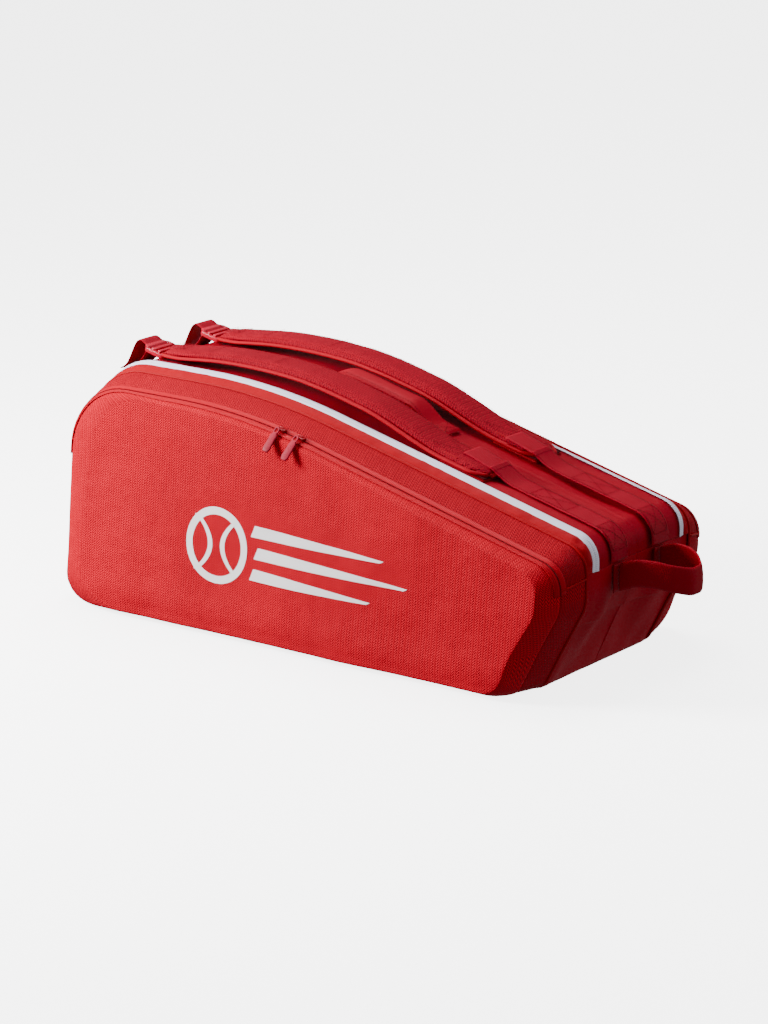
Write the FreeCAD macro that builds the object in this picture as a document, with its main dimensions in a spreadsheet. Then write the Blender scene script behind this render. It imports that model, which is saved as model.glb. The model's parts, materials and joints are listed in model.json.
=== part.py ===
"""Racket tournament bag: two mirrored racket compartments, each with an accessory pod.

Millimetres. X runs along the bag (+X is the handle end, -X the head end), the front is -Y,
+Z is up. The origin is the centre of the base, on the ground.
"""
import FreeCAD, Part
import math
import os
import types

import Sketcher

DRIVING_SIZES = [
    # bag outline, seen from the front
    ("head_base", 413, "head end at the ground"),
    ("head_top", 392, "head end at the top"),
    ("crown_height", 311, "top of the pod seam over the head end"),
    ("crown_break", 105, "distance from the origin to the start of the slope"),
    ("handle_end", 387, "handle end, upright part"),
    ("handle_top", 186, "pod seam at the handle end"),
    ("handle_wall", 118, "height where the handle end starts to lean in"),
    ("handle_base", 325, "handle end at the ground"),
    ("head_radius", 95, "rounding of the head end top corner"),
    ("crown_radius", 885, "rounding between the level top and the slope"),
    ("handle_radius", 34, "rounding of the handle end top corner"),
    ("wall_radius", 60, "rounding where the handle end leans in"),
    ("base_radius", 22, "rounding of the two lower corners"),
    # widths from the middle of the bag
    ("panel_half", 94, "half width of the centre top panel"),
    ("zip_width", 4, "width of one side of a main zip"),
    ("zip_gap", 0.3, "gap between the two sides of a closed zip"),
    ("zip_rise", 9, "main zip above the pod seam"),
    ("seam_half", 117, "middle of the bag to the pod seam"),
    ("pod_edge", 157, "middle of the bag to the pocket zip"),
    ("pod_drop", 16, "pocket zip below the pod seam"),
    ("pod_taper", 5, "pocket zip ends inside the pod seam ends"),
    ("face_half", 196, "middle of the bag to the face at the ground"),
    ("face_lean", 4.7, "lean of the face, degrees"),
    ("face_head_inset", 48, "rounding of the face at the head end"),
    ("face_handle_inset", 38, "rounding of the face at the handle end"),
    ("face_top_inset", 7, "rounding of the face at the top"),
    ("face_base_inset", 14, "rounding of the face at the ground"),
    ("middle_share", 0.45, "how far in the middle of that rounding is"),
    ("middle_depth", 0.7, "share of the pocket depth at the middle of that rounding"),
    ("inner_middle_depth", 0.62, "the same share on the inside of the pocket"),
    ("middle_lean", 0.85, "share of the lean of the face at the middle of that rounding"),
    # walls
    ("shell", 3, "padded shell of the pods and gussets"),
    ("panel", 4, "centre top panel"),
    ("cloth", 2, "base fabric and pod inner wall"),
    ("board", 3, "base stiffener"),
    ("divider", 4, "centre divider"),
    ("seat", 0.2, "clearance between layers"),
    ("free", 0.5, "clearance between the pod and its pocket panel"),
    ("tape", 1.5, "zip tape with its coil"),
    ("piping", 3, "piping on the pod seam"),
    # zips
    ("main_zip_low", 12, "lower end of the main zip on the head end"),
    ("head_join", 205, "top of the head gusset"),
    ("main_zip_end", 158, "end of the main zip on the handle end"),
    ("pocket_zip_head", 198, "head end of the pocket zip, height"),
    ("pocket_zip_handle", 140, "handle end of the pocket zip, height"),
    ("pocket_tape", 7, "width of one side of a pocket zip"),
    ("slider_long", 13, "zip slider length"),
    ("slider_wide", 9, "zip slider width"),
    ("slider_high", 4.5, "zip slider height"),
    ("puller_long", 36, "zip puller length"),
    ("puller_wide", 9, "zip puller width"),
    ("puller_thick", 3, "zip puller thickness"),
    ("puller_lean", 41, "lean of a pocket puller over the shoulder of the pocket, degrees"),
    ("slider_head_x", 46, "head side pocket slider from the origin"),
    ("slider_handle_x", 16, "handle side pocket slider from the origin"),
    ("main_slider_z", 40, "main slider height on the head end"),
    # shoulder straps
    ("strap_middle", 58, "middle of the bag to the middle of a strap"),
    ("strap_wide", 61, "shoulder strap width"),
    ("strap_thick", 11, "padding thickness"),
    ("mesh_thick", 2, "mesh lining under the padding"),
    ("strap_root", 214, "handle side end of a strap"),
    ("strap_flat", 66, "sewn stretch of a strap"),
    ("strap_rise", 60, "stretch over which a strap rises clear of the bag"),
    ("strap_lift", 14, "strap above the top panel"),
    ("strap_crown", 640, "rounding of a strap over the crown of the bag"),
    ("bend_back", 192, "where a strap bends down to its tip, from the top of the head end"),
    ("tip_back", 86, "head side end of a strap, from the top of the head end"),
    ("strap_fall", 10, "drop of a strap from that bend to its tip"),
    ("strap_radius", 120, "rounding of the bends of a strap"),
    ("web_wide", 38, "webbing width"),
    ("web_thick", 2, "webbing thickness"),
    ("web_middle", 46, "middle of the bag to the sewn webbing"),
    ("web_end", 161, "lower end of the sewn webbing"),
    ("patch_thick", 1.6, "stitched patch thickness"),
    # ladder locks and lower webbing
    ("lock_wide", 48, "ladder lock width"),
    ("lock_long", 30, "ladder lock length"),
    ("lock_thick", 5, "ladder lock thickness"),
    ("lock_bar", 5, "ladder lock bar width"),
    ("lock_lean", 14, "lean of the ladder lock, degrees"),
    ("anchor_turn", 48, "place of the webbing anchor round the head corner, degrees"),
    ("anchor_long", 26, "webbing anchor length"),
    # haul handle
    ("haul_head", 112, "head side end of the haul handle"),
    ("haul_handle", 108, "handle side end of the haul handle"),
    ("haul_wide", 40, "haul handle width"),
    ("haul_rise", 22, "haul handle above the top panel"),
    ("haul_thick", 6, "haul handle thickness"),
    ("haul_foot", 22, "flat end of the haul handle"),
    ("haul_ramp", 40, "stretch over which the haul handle rises"),
    ("haul_radius", 30, "rounding of the bends of the haul handle"),
    # grab loop
    ("loop_half", 46, "middle of the bag to the ends of the grab loop"),
    ("loop_reach", 86, "grab loop beyond the handle end"),
    ("loop_nose", 26, "half width of the grab loop at its far end"),
    ("loop_wide", 36, "grab loop webbing width"),
    ("loop_top", 157, "upper edge of the grab loop"),
    ("loop_thick", 3, "grab loop webbing thickness"),
    ("loop_radius", 24, "rounding of the grab loop"),
    ("tab_long", 22, "sewn end of the grab loop"),
]

FRONT = 1
REAR = -1
SIDES = [("front", FRONT), ("rear", REAR)]
SHEET_NAME = "Sizes"
SHARP = None


class Size:
    """A length that keeps both its number and its spreadsheet expression."""

    def __init__(self, text, number):
        self.text = text
        self.number = number

    def joined(self, sign, other, number):
        return Size(f"({self.text} {sign} {other.text})", number)

    def __add__(self, other):
        other = as_size(other)
        return self.joined("+", other, self.number + other.number)

    def __radd__(self, other):
        return as_size(other) + self

    def __sub__(self, other):
        other = as_size(other)
        return self.joined("-", other, self.number - other.number)

    def __rsub__(self, other):
        return as_size(other) - self

    def __mul__(self, other):
        other = as_size(other)
        return self.joined("*", other, self.number * other.number)

    def __rmul__(self, other):
        return as_size(other) * self

    def __truediv__(self, other):
        other = as_size(other)
        return self.joined("/", other, self.number / other.number)

    def __neg__(self):
        return as_size(0) - self


def as_size(value):
    if isinstance(value, Size):
        return value
    return Size(repr(float(value)), float(value))


def make_sheet(doc):
    """Put the driving sizes in the spreadsheet and return them by name."""
    sheet = doc.addObject("Spreadsheet::Sheet", SHEET_NAME)
    for row, (name, value, note) in enumerate(DRIVING_SIZES, start=1):
        sheet.set(f"A{row}", note)
        sheet.set(f"B{row}", str(value))
        sheet.setAlias(f"B{row}", name)
    doc.recompute()
    sizes = {}
    for name, _, _ in DRIVING_SIZES:
        sizes[name] = Size(f"{SHEET_NAME}.{name}", float(sheet.get(name)))
    return types.SimpleNamespace(**sizes)


doc = FreeCAD.newDocument("racket_bag")
s = make_sheet(doc)
s.strap_bend = s.head_top - s.bend_back
s.strap_tip = s.head_top - s.tip_back
nodes = []


# ---------------------------------------------------------------- sketches and features

def new_body(label):
    body = doc.addObject("PartDesign::Body", label)
    body.Label = label
    nodes.append(body)
    return body


def new_sketch(body, name, plane_role, offset, tilt=None):
    """A sketch on one of the body's origin planes, moved along its normal and tilted."""
    sketch = body.newObject("Sketcher::SketchObject", name)
    planes = [f for f in body.Origin.OriginFeatures if f.Role == plane_role]
    sketch.AttachmentSupport = (planes[0], [""])
    sketch.MapMode = "FlatFace"
    offset = as_size(offset)
    angle = as_size(tilt if tilt is not None else 0)
    turn = FreeCAD.Rotation(FreeCAD.Vector(1, 0, 0), angle.number)
    sketch.AttachmentOffset = FreeCAD.Placement(FreeCAD.Vector(0, 0, offset.number), turn)
    sketch.setExpression("AttachmentOffset.Base.z", offset.text)
    if tilt is not None:
        sketch.setExpression("AttachmentOffset.Rotation.Angle", angle.text)
    return sketch


def corner_geometry(before, corner, after, radius):
    """Where the rounding of a corner starts and ends, and its centre."""
    point = FreeCAD.Vector(corner[0].number, corner[1].number, 0)
    start = FreeCAD.Vector(before[0].number, before[1].number, 0)
    end = FreeCAD.Vector(after[0].number, after[1].number, 0)
    way_in = (point - start).normalize()
    way_out = (end - point).normalize()
    turn = math.atan2(way_in.x * way_out.y - way_in.y * way_out.x, way_in.dot(way_out))
    reach = radius * math.tan(abs(turn) / 2)
    first = point - way_in * reach
    last = point + way_out * reach
    side = math.copysign(1, turn)
    centre = first + FreeCAD.Vector(-way_in.y, way_in.x, 0) * (radius * side)
    return first, last, centre, side


def add_length(sketch, constraint, size):
    index = sketch.addConstraint(constraint)
    sketch.setExpression(f"Constraints[{index}]", size.text)


def add_loop(sketch, corners):
    """Draw one closed outline of (x, y, radius) corners, each corner bound to its sizes."""
    corners = [(as_size(x), as_size(y), radius) for x, y, radius in corners]
    count = len(corners)
    bends = []
    for i, corner in enumerate(corners):
        if corner[2] is SHARP:
            point = FreeCAD.Vector(corner[0].number, corner[1].number, 0)
            bends.append((point, point, None, 0))
        else:
            before = corners[i - 1]
            after = corners[(i + 1) % count]
            bends.append(corner_geometry(before, corner, after, as_size(corner[2]).number))
    lines = []
    for i in range(count):
        segment = Part.LineSegment(bends[i][1], bends[(i + 1) % count][0])
        lines.append(sketch.addGeometry(segment, False))
    for i, (x, y, radius) in enumerate(corners):
        before, after = lines[i - 1], lines[i]
        if radius is SHARP:
            sketch.addConstraint(Sketcher.Constraint("Coincident", before, 2, after, 1))
            add_length(sketch, Sketcher.Constraint("DistanceX", -1, 1, after, 1, x.number), x)
            add_length(sketch, Sketcher.Constraint("DistanceY", -1, 1, after, 1, y.number), y)
            continue
        first, last, centre, side = bends[i]
        arc, first_end, last_end = add_arc(sketch, first, last, centre, side)
        sketch.addConstraint(Sketcher.Constraint("Tangent", before, 2, arc, first_end))
        sketch.addConstraint(Sketcher.Constraint("Tangent", after, 1, arc, last_end))
        radius = as_size(radius)
        add_length(sketch, Sketcher.Constraint("Radius", arc, radius.number), radius)
        vertex = sketch.addGeometry(Part.Point(FreeCAD.Vector(x.number, y.number, 0)), True)
        sketch.addConstraint(Sketcher.Constraint("PointOnObject", vertex, 1, before))
        sketch.addConstraint(Sketcher.Constraint("PointOnObject", vertex, 1, after))
        add_length(sketch, Sketcher.Constraint("DistanceX", -1, 1, vertex, 1, x.number), x)
        add_length(sketch, Sketcher.Constraint("DistanceY", -1, 1, vertex, 1, y.number), y)


def add_arc(sketch, first, last, centre, side):
    """Add the arc of a corner and say which of its ends is which."""
    circle = Part.Circle(centre, FreeCAD.Vector(0, 0, 1), (first - centre).Length)
    first_angle = math.atan2(first.y - centre.y, first.x - centre.x)
    last_angle = math.atan2(last.y - centre.y, last.x - centre.x)
    if side > 0:
        arc = Part.ArcOfCircle(circle, first_angle, last_angle)
        return sketch.addGeometry(arc, False), 1, 2
    arc = Part.ArcOfCircle(circle, last_angle, first_angle)
    return sketch.addGeometry(arc, False), 2, 1


def side_offset(side, distance):
    """Sketch offset for a distance from the middle of the bag: the XZ plane faces -Y."""
    return as_size(distance) if side == FRONT else -as_size(distance)


def pad_across(label, side, near, far, loops):
    """A node with an outline seen from the front, from near to far off the middle."""
    body = new_body(label)
    near = as_size(near)
    far = as_size(far)
    start = near if side == FRONT else -far
    sketch = new_sketch(body, f"{label}_outline", "XZ_Plane", start)
    for corners in loops:
        add_loop(sketch, corners)
    return pad(body, sketch, far - near)


def pad(body, sketch, length):
    feature = body.newObject("PartDesign::Pad", f"{body.Label}_pad")
    feature.Profile = sketch
    feature.Length = length.number
    feature.setExpression("Length", length.text)
    sketch.Visibility = False
    return body


def loft(body, kind, name, sections):
    """A ruled loft through (offset, tilt, corners) outlines seen from the front."""
    sketches = []
    sections = sorted(sections, key=lambda section: as_size(section[0]).number)
    for number, (offset, tilt, corners) in enumerate(sections):
        sketch = new_sketch(body, f"{name}_{number}", "XZ_Plane", offset, tilt)
        add_loop(sketch, corners)
        sketches.append(sketch)
    feature = body.newObject(f"PartDesign::{kind}", name)
    feature.Profile = sketches[0]
    feature.Sections = sketches[1:]
    feature.Ruled = True
    return feature


# ---------------------------------------------------------------- outlines of the bag

def top_line(drop, grow):
    """Height of the level top and of the slope where it reaches the handle end."""
    return s.crown_height - drop + grow, s.handle_top - drop + grow


def slope_height(x, drop, grow):
    """Height of the sloping top above a place x."""
    level, low = top_line(drop, grow)
    return level + (low - level) * (as_size(x) + s.crown_break) / (s.handle_end + s.crown_break)


def head_line(height, taper, grow):
    """Place of the leaning head end at a height."""
    lean = (s.head_base - s.head_top) * as_size(height) / s.crown_height
    return -(s.head_base - lean - taper + grow)


def handle_line(height, taper, grow):
    """Place of the lower, leaning part of the handle end at a height."""
    lean = (s.handle_end - s.handle_base) * as_size(height) / s.handle_wall
    return s.handle_base + lean - taper + grow


def over_top(drop, taper, grow):
    """The three upper corners, from the handle end to the head end."""
    level, low = top_line(drop, grow)
    return [
        (s.handle_end - taper + grow, low, s.handle_radius + grow),
        (-s.crown_break, level, s.crown_radius + grow),
        (head_line(level, taper, grow), level, s.head_radius + grow),
    ]


def whole_outline(drop, taper, grow, floor):
    """The closed outline, counter-clockwise from the lower head end corner."""
    radius = s.base_radius + grow
    shift = s.handle_end - taper + grow
    lower = [
        (head_line(floor, taper, grow), floor, radius),
        (handle_line(floor, taper, grow), floor, radius),
        (shift, s.handle_wall, s.wall_radius + grow),
    ]
    return lower + over_top(drop, taper, grow)


def strip_outline(drop, taper, inner, outer, head_height, handle_height):
    """A layer that follows the top from one end of the bag to the other."""
    outside = [(s.handle_end - taper + outer, handle_height, SHARP)]
    outside += over_top(drop, taper, outer)
    outside += [(head_line(head_height, taper, outer), head_height, SHARP)]
    inside = [(s.handle_end - taper + inner, handle_height, SHARP)]
    inside += over_top(drop, taper, inner)
    inside += [(head_line(head_height, taper, inner), head_height, SHARP)]
    return outside + inside[::-1]


# ---------------------------------------------------------------- centre section

ZIP_DROP = -s.zip_rise


def make_base():
    hem = s.shell / 3
    corners = [
        (-s.head_base + hem, 0, SHARP), (s.handle_base - hem, 0, SHARP),
        (s.handle_base - hem, s.cloth, SHARP), (-s.head_base + hem, s.cloth, SHARP),
    ]
    edge = s.seam_half - s.cloth - s.free
    pad_across("base_panel", FRONT, -edge, edge, [corners])
    top = s.cloth + s.board
    inset = s.shell * 2
    corners = [
        (-s.head_base + inset, s.cloth, SHARP), (s.handle_base - inset, s.cloth, SHARP),
        (s.handle_base - inset, top, SHARP), (-s.head_base + inset, top, SHARP),
    ]
    pad_across("base_board", FRONT, -edge + s.cloth, edge - s.cloth, [corners])


def make_top_panel():
    corners = strip_outline(ZIP_DROP, 0, -s.panel, 0, s.head_join, s.main_zip_end)
    pad_across("top_panel", FRONT, -s.panel_half, s.panel_half, [corners])


def make_head_gusset():
    top = s.head_join
    corners = [
        (head_line(s.cloth, 0, 0), s.cloth, SHARP), (head_line(s.cloth, 0, -s.shell), s.cloth, SHARP),
        (head_line(top, 0, -s.shell), top, SHARP), (head_line(top, 0, 0), top, SHARP),
    ]
    pad_across("head_gusset", FRONT, -s.panel_half, s.panel_half, [corners])


def make_handle_gusset():
    top = s.main_zip_end - s.free
    corners = [
        (handle_line(s.cloth, 0, 0), s.cloth, SHARP), (s.handle_end, s.handle_wall, s.wall_radius),
        (s.handle_end, top, SHARP), (s.handle_end - s.shell, top, SHARP),
        (s.handle_end - s.shell, s.handle_wall, s.wall_radius - s.shell),
        (handle_line(s.cloth, 0, -s.shell), s.cloth, SHARP),
    ]
    edge = s.seam_half - s.cloth - s.free
    pad_across("handle_gusset", FRONT, -edge, edge, [corners])


def make_divider():
    inset = -s.panel - s.seat
    corners = whole_outline(ZIP_DROP, 0, inset, s.cloth + s.board)
    pad_across("centre_divider", FRONT, -s.divider / 2, s.divider / 2, [corners])


def make_main_zip(name, side):
    inner_edge = s.panel_half + s.zip_width
    outer_edge = inner_edge + s.zip_gap
    corners = strip_outline(ZIP_DROP, 0, -s.shell, s.tape - s.shell / 2, s.main_zip_low, s.main_zip_end)
    pad_across(f"main_zip_inner_{name}", side, s.panel_half, inner_edge, [corners])
    pad_across(f"main_zip_outer_{name}", side, outer_edge, outer_edge + s.zip_width, [corners])


# ---------------------------------------------------------------- pods

def make_pod(name, side):
    wall_half = s.seam_half - s.cloth
    corners = whole_outline(0, 0, 0, 0)
    pad_across(f"pod_inner_wall_{name}", side, wall_half, s.seam_half, [corners])
    make_flange(name, side, wall_half)
    make_frame(name, side)
    pipe_near = s.seam_half - s.piping / 2
    corners = strip_outline(0, 0, s.seat, s.seat + s.piping, s.main_zip_low, s.main_zip_end)
    pad_across(f"seam_piping_{name}", side, pipe_near, pipe_near + s.piping, [corners])


def make_flange(name, side, wall_half):
    """The smooth band between the main zip and the pod seam."""
    body = new_body(f"pod_flange_{name}")
    near = s.panel_half + s.zip_width * 2 + s.zip_gap
    sections = []
    for distance, drop in [(near, ZIP_DROP), (wall_half, as_size(0))]:
        corners = strip_outline(drop, 0, -s.shell, 0, s.main_zip_low, s.main_zip_end)
        sections.append((side_offset(side, distance), None, corners))
    loft(body, "AdditiveLoft", f"pod_flange_{name}_loft", sections)


def make_frame(name, side):
    """The band of the pod, all round, from the seam to the pocket zip."""
    body = new_body(f"pod_frame_{name}")
    near = side_offset(side, s.seam_half)
    far = side_offset(side, s.pod_edge - s.free / 2)
    outer = [
        (near, None, whole_outline(0, 0, 0, 0)),
        (far, None, whole_outline(s.pod_drop, s.pod_taper, 0, 0)),
    ]
    loft(body, "AdditiveLoft", f"pod_frame_{name}_outer", outer)
    inner = [
        (near, None, whole_outline(0, 0, -s.shell, s.shell)),
        (far, None, whole_outline(s.pod_drop, s.pod_taper, -s.shell, s.shell)),
    ]
    loft(body, "SubtractiveLoft", f"pod_frame_{name}_inner", inner)


def face_outline(share, shrink, floor):
    """The outline of the pocket panel, from its edge (share 0) to its flat face (share 1)."""
    head = s.face_head_inset * share + shrink
    handle = s.face_handle_inset * share + shrink
    top = s.face_top_inset * share + shrink
    base = as_size(floor) + s.face_base_inset * share
    level, low = top_line(s.pod_drop, 0)
    round_more = s.face_base_inset * share
    head_radius = s.head_radius - shrink
    return [
        (head_line(0, s.pod_taper, 0) + head, base, s.base_radius + round_more),
        (handle_line(0, s.pod_taper, 0) - handle, base, s.base_radius + round_more),
        (s.handle_end - s.pod_taper - handle, s.handle_wall, s.wall_radius),
        (s.handle_end - s.pod_taper - handle, low - top, s.handle_radius - shrink),
        (-s.crown_break, level - top, s.crown_radius),
        (head_line(level, s.pod_taper, 0) + head, level - top, head_radius),
    ]


def make_pocket_panel(name, side):
    """The moulded face of the pod, wrapped round both ends, open towards the bag."""
    body = new_body(f"pocket_panel_{name}")
    edge = s.pod_edge + s.free / 2
    lean = -s.face_lean if side == FRONT else s.face_lean
    depth = s.face_half - edge
    middle_lean = lean * s.middle_lean
    outer_middle = side_offset(side, edge + depth * s.middle_depth)
    inner_middle = side_offset(side, edge + depth * s.inner_middle_depth)
    outer = [
        (side_offset(side, edge), None, face_outline(as_size(0), as_size(0), 0)),
        (outer_middle, middle_lean, face_outline(s.middle_share, as_size(0), 0)),
        (side_offset(side, s.face_half), lean, face_outline(as_size(1), as_size(0), 0)),
    ]
    loft(body, "AdditiveLoft", f"pocket_panel_{name}_outer", outer)
    inner_face = s.face_half - s.shell
    inner = [
        (side_offset(side, edge), None, face_outline(as_size(0), s.shell, s.shell)),
        (inner_middle, middle_lean, face_outline(s.middle_share, s.shell, s.shell)),
        (side_offset(side, inner_face), lean, face_outline(as_size(1), s.shell, s.shell)),
    ]
    loft(body, "SubtractiveLoft", f"pocket_panel_{name}_inner", inner)


def make_pocket_zip(name, side):
    """Both sides of the pocket zip, on the edges of the pod frame and the pocket panel."""
    drop_share = s.pocket_tape / (s.pod_edge - s.seam_half)
    inner = s.seat
    outer = s.seat + s.tape
    level = as_size(0)
    upper_edge = s.pod_edge - s.free / 2 - s.pocket_tape
    lower_edge = s.pod_edge + s.free / 2
    for part, near_edge, near_share in [("upper", upper_edge, -drop_share), ("lower", lower_edge, level)]:
        body = new_body(f"pocket_zip_{part}_{name}")
        sections = []
        for distance, share in [(near_edge, near_share), (near_edge + s.pocket_tape, level)]:
            drop = s.pod_drop * (1 + share)
            taper = s.pod_taper * (1 + share)
            corners = strip_outline(drop, taper, inner, outer, s.pocket_zip_head, s.pocket_zip_handle)
            sections.append((side_offset(side, distance), None, corners))
        loft(body, "AdditiveLoft", f"pocket_zip_{part}_{name}_loft", sections)


# ---------------------------------------------------------------- heights over the crown

def square_root(size):
    return Size(f"sqrt({size.text})", math.sqrt(size.number))


def top_slope():
    """Fall of the sloping top for each millimetre along the bag."""
    level, low = top_line(ZIP_DROP, 0)
    return (level - low) / (s.handle_end + s.crown_break)


def crown_reach():
    """Length of the crown rounding on each side of its corner."""
    slope = top_slope()
    return s.crown_radius * (square_root(1 + slope * slope) - 1) / slope


def panel_height(x):
    """Height of the top panel above a place x, on the level, the crown or the slope."""
    x = as_size(x)
    level, _ = top_line(ZIP_DROP, 0)
    start = -s.crown_break - crown_reach()
    if x.number < start.number:
        return level
    if x.number > (crown_reach() - s.crown_break).number:
        return slope_height(x, ZIP_DROP, 0)
    run = x - start
    return level - s.crown_radius + square_root(s.crown_radius * s.crown_radius - run * run)


def ribbon(points, thick):
    """A band of even height: a line of (x, z, radius) points and the same line raised."""
    raised = [(x, z + thick, radius) for x, z, radius in points]
    return points + raised[::-1]


# ---------------------------------------------------------------- straps

def strap_line(raise_by):
    """The line of a shoulder strap from its sewn end to its tip."""
    flat_end = s.strap_root - s.strap_flat
    clear = flat_end - s.strap_rise
    level, _ = top_line(ZIP_DROP, 0)
    top = level + s.strap_lift + raise_by
    seated = s.seat * 2 + s.patch_thick + raise_by
    return [
        (s.strap_root, panel_height(s.strap_root) + seated, SHARP),
        (flat_end, panel_height(flat_end) + seated, s.strap_radius),
        (clear, panel_height(clear) + s.strap_lift + raise_by, s.strap_radius),
        (-s.crown_break, top, s.strap_crown),
        (-s.strap_bend, top, s.strap_radius),
        (-s.strap_tip, top - s.strap_fall, SHARP),
    ][::-1]


def make_strap(name, side):
    near = s.strap_middle - s.strap_wide / 2
    far = near + s.strap_wide
    lining = ribbon(strap_line(as_size(0)), s.mesh_thick)
    pad_across(f"strap_lining_{name}", side, near, far, [lining])
    padding = ribbon(strap_line(s.mesh_thick), s.strap_thick)
    pad_across(f"shoulder_strap_{name}", side, near, far, [padding])
    patch_end = s.strap_root - s.strap_flat
    patch = [
        (patch_end, panel_height(patch_end) + s.seat, SHARP),
        (s.strap_root, panel_height(s.strap_root) + s.seat, SHARP),
    ]
    pad_across(f"strap_patch_{name}", side, near, far, [ribbon(patch, s.patch_thick)])
    make_strap_webbing(name, side)


def make_strap_webbing(name, side):
    """The webbing sewn down the slope from the strap to the handle end."""
    _, low = top_line(ZIP_DROP, 0)
    inner = s.seat
    outer = s.seat + s.web_thick
    start = s.strap_root + s.web_thick
    height = slope_height(start, ZIP_DROP, 0)
    corners = [
        (s.handle_end + outer, s.web_end, SHARP),
        (s.handle_end + outer, low + outer, s.handle_radius + outer),
        (start, height + outer, SHARP), (start, height + inner, SHARP),
        (s.handle_end + inner, low + inner, s.handle_radius + inner),
        (s.handle_end + inner, s.web_end, SHARP),
    ]
    near = s.web_middle - s.web_wide / 2
    pad_across(f"strap_webbing_{name}", side, near, near + s.web_wide, [corners])


def flat_plate(label, length, width, thick, holes=()):
    """A plate lying on the ground plane, centred, still to be placed."""
    body = new_body(label)
    sketch = new_sketch(body, f"{label}_outline", "XY_Plane", 0)
    add_loop(sketch, rectangle(-length / 2, length / 2, -width / 2, width / 2))
    for low_x, high_x, half in holes:
        add_loop(sketch, rectangle(low_x, high_x, -half, half))
    return pad(body, sketch, thick)


def rectangle(low_x, high_x, low_y, high_y):
    return [
        (low_x, low_y, SHARP), (high_x, low_y, SHARP),
        (high_x, high_y, SHARP), (low_x, high_y, SHARP),
    ]


def place(body, x, y, z, turns):
    """Turn a body about its own origin, (axis, degrees) in order, and move it to its place."""
    rotation = FreeCAD.Rotation()
    for axis, degrees in turns:
        rotation = FreeCAD.Rotation(FreeCAD.Vector(*axis), degrees) * rotation
    body.Placement = FreeCAD.Placement(FreeCAD.Vector(x, y, z), rotation)


ALONG = (1, 0, 0)
ACROSS = (0, 1, 0)
UP = (0, 0, 1)


def make_lock(name, side):
    """The ladder lock on the strap tip, the webbing below it and the tab that anchors it."""
    slot_half = s.web_wide / 2 + 1
    bar = s.lock_bar / 2
    slot_end = s.lock_long / 2 - s.lock_bar
    slots = [(bar, slot_end, slot_half), (-slot_end, -bar, slot_half)]
    lock = flat_plate(f"ladder_lock_{name}", s.lock_long, s.lock_wide, s.lock_thick, slots)
    tip = strap_line(as_size(0))[0]
    y = -side * s.strap_middle.number
    lean = math.radians(s.lock_lean.number)
    half = s.lock_long.number / 2
    lock_x = tip[0].number - s.free.number - half * math.cos(lean)
    lock_z = tip[1].number + s.mesh_thick.number - half * math.sin(lean)
    place(lock, lock_x, y, lock_z, [(ACROSS, -s.lock_lean.number)])
    anchor_x, anchor_z, turn = head_corner_point(s.anchor_turn.number)
    anchor = flat_plate(f"webbing_anchor_{name}", s.anchor_long, s.web_wide, s.web_thick)
    place(anchor, anchor_x, y, anchor_z, [(ACROSS, -turn)])
    start_x = anchor_x + math.cos(math.radians(turn)) * s.anchor_long.number / 2
    start_z = anchor_z + math.sin(math.radians(turn)) * s.anchor_long.number / 2 + s.web_thick.number
    make_lower_webbing(name, y, (start_x, start_z), (lock_x - half / 2, lock_z - half / 4))


def head_corner_point(turn):
    """A point just outside the rounded head corner, turn degrees down from the top."""
    level, _ = top_line(ZIP_DROP, 0)
    radius = s.head_radius.number
    lean = math.atan2(s.head_base.number - s.head_top.number, s.crown_height.number)
    corner_x = head_line(level, 0, 0).number
    centre_x = corner_x + radius * math.tan(math.pi / 4 - lean / 2)
    centre_z = level.number - radius
    reach = radius + s.seat.number
    angle = math.radians(turn)
    return centre_x - reach * math.sin(angle), centre_z + reach * math.cos(angle), turn


def make_lower_webbing(name, y, low_end, high_end):
    """Straight webbing from the end of its anchor up to the ladder lock."""
    run = high_end[0] - low_end[0]
    rise = high_end[1] - low_end[1]
    length = math.hypot(run, rise)
    angle = math.degrees(math.atan2(rise, run))
    body = flat_plate(f"lower_webbing_{name}", as_size(length), s.web_wide, s.web_thick)
    centre_x = (low_end[0] + high_end[0]) / 2
    centre_z = (low_end[1] + high_end[1]) / 2
    place(body, centre_x, y, centre_z, [(ACROSS, -angle)])


# ---------------------------------------------------------------- handles

def make_haul_handle():
    ramp_head = -s.haul_head + s.haul_foot
    ramp_handle = s.haul_handle - s.haul_foot
    top_head = ramp_head + s.haul_ramp
    top_handle = ramp_handle - s.haul_ramp
    line = [
        (-s.haul_head, panel_height(-s.haul_head) + s.seat, SHARP),
        (ramp_head, panel_height(ramp_head) + s.seat, s.haul_radius),
        (top_head, panel_height(top_head) + s.haul_rise, s.haul_radius),
        (top_handle, panel_height(top_handle) + s.haul_rise, s.haul_radius),
        (ramp_handle, panel_height(ramp_handle) + s.seat, s.haul_radius),
        (s.haul_handle, panel_height(s.haul_handle) + s.seat, SHARP),
    ]
    half = s.haul_wide / 2
    pad_across("haul_handle", FRONT, -half, half, [ribbon(line, s.haul_thick)])


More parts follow.
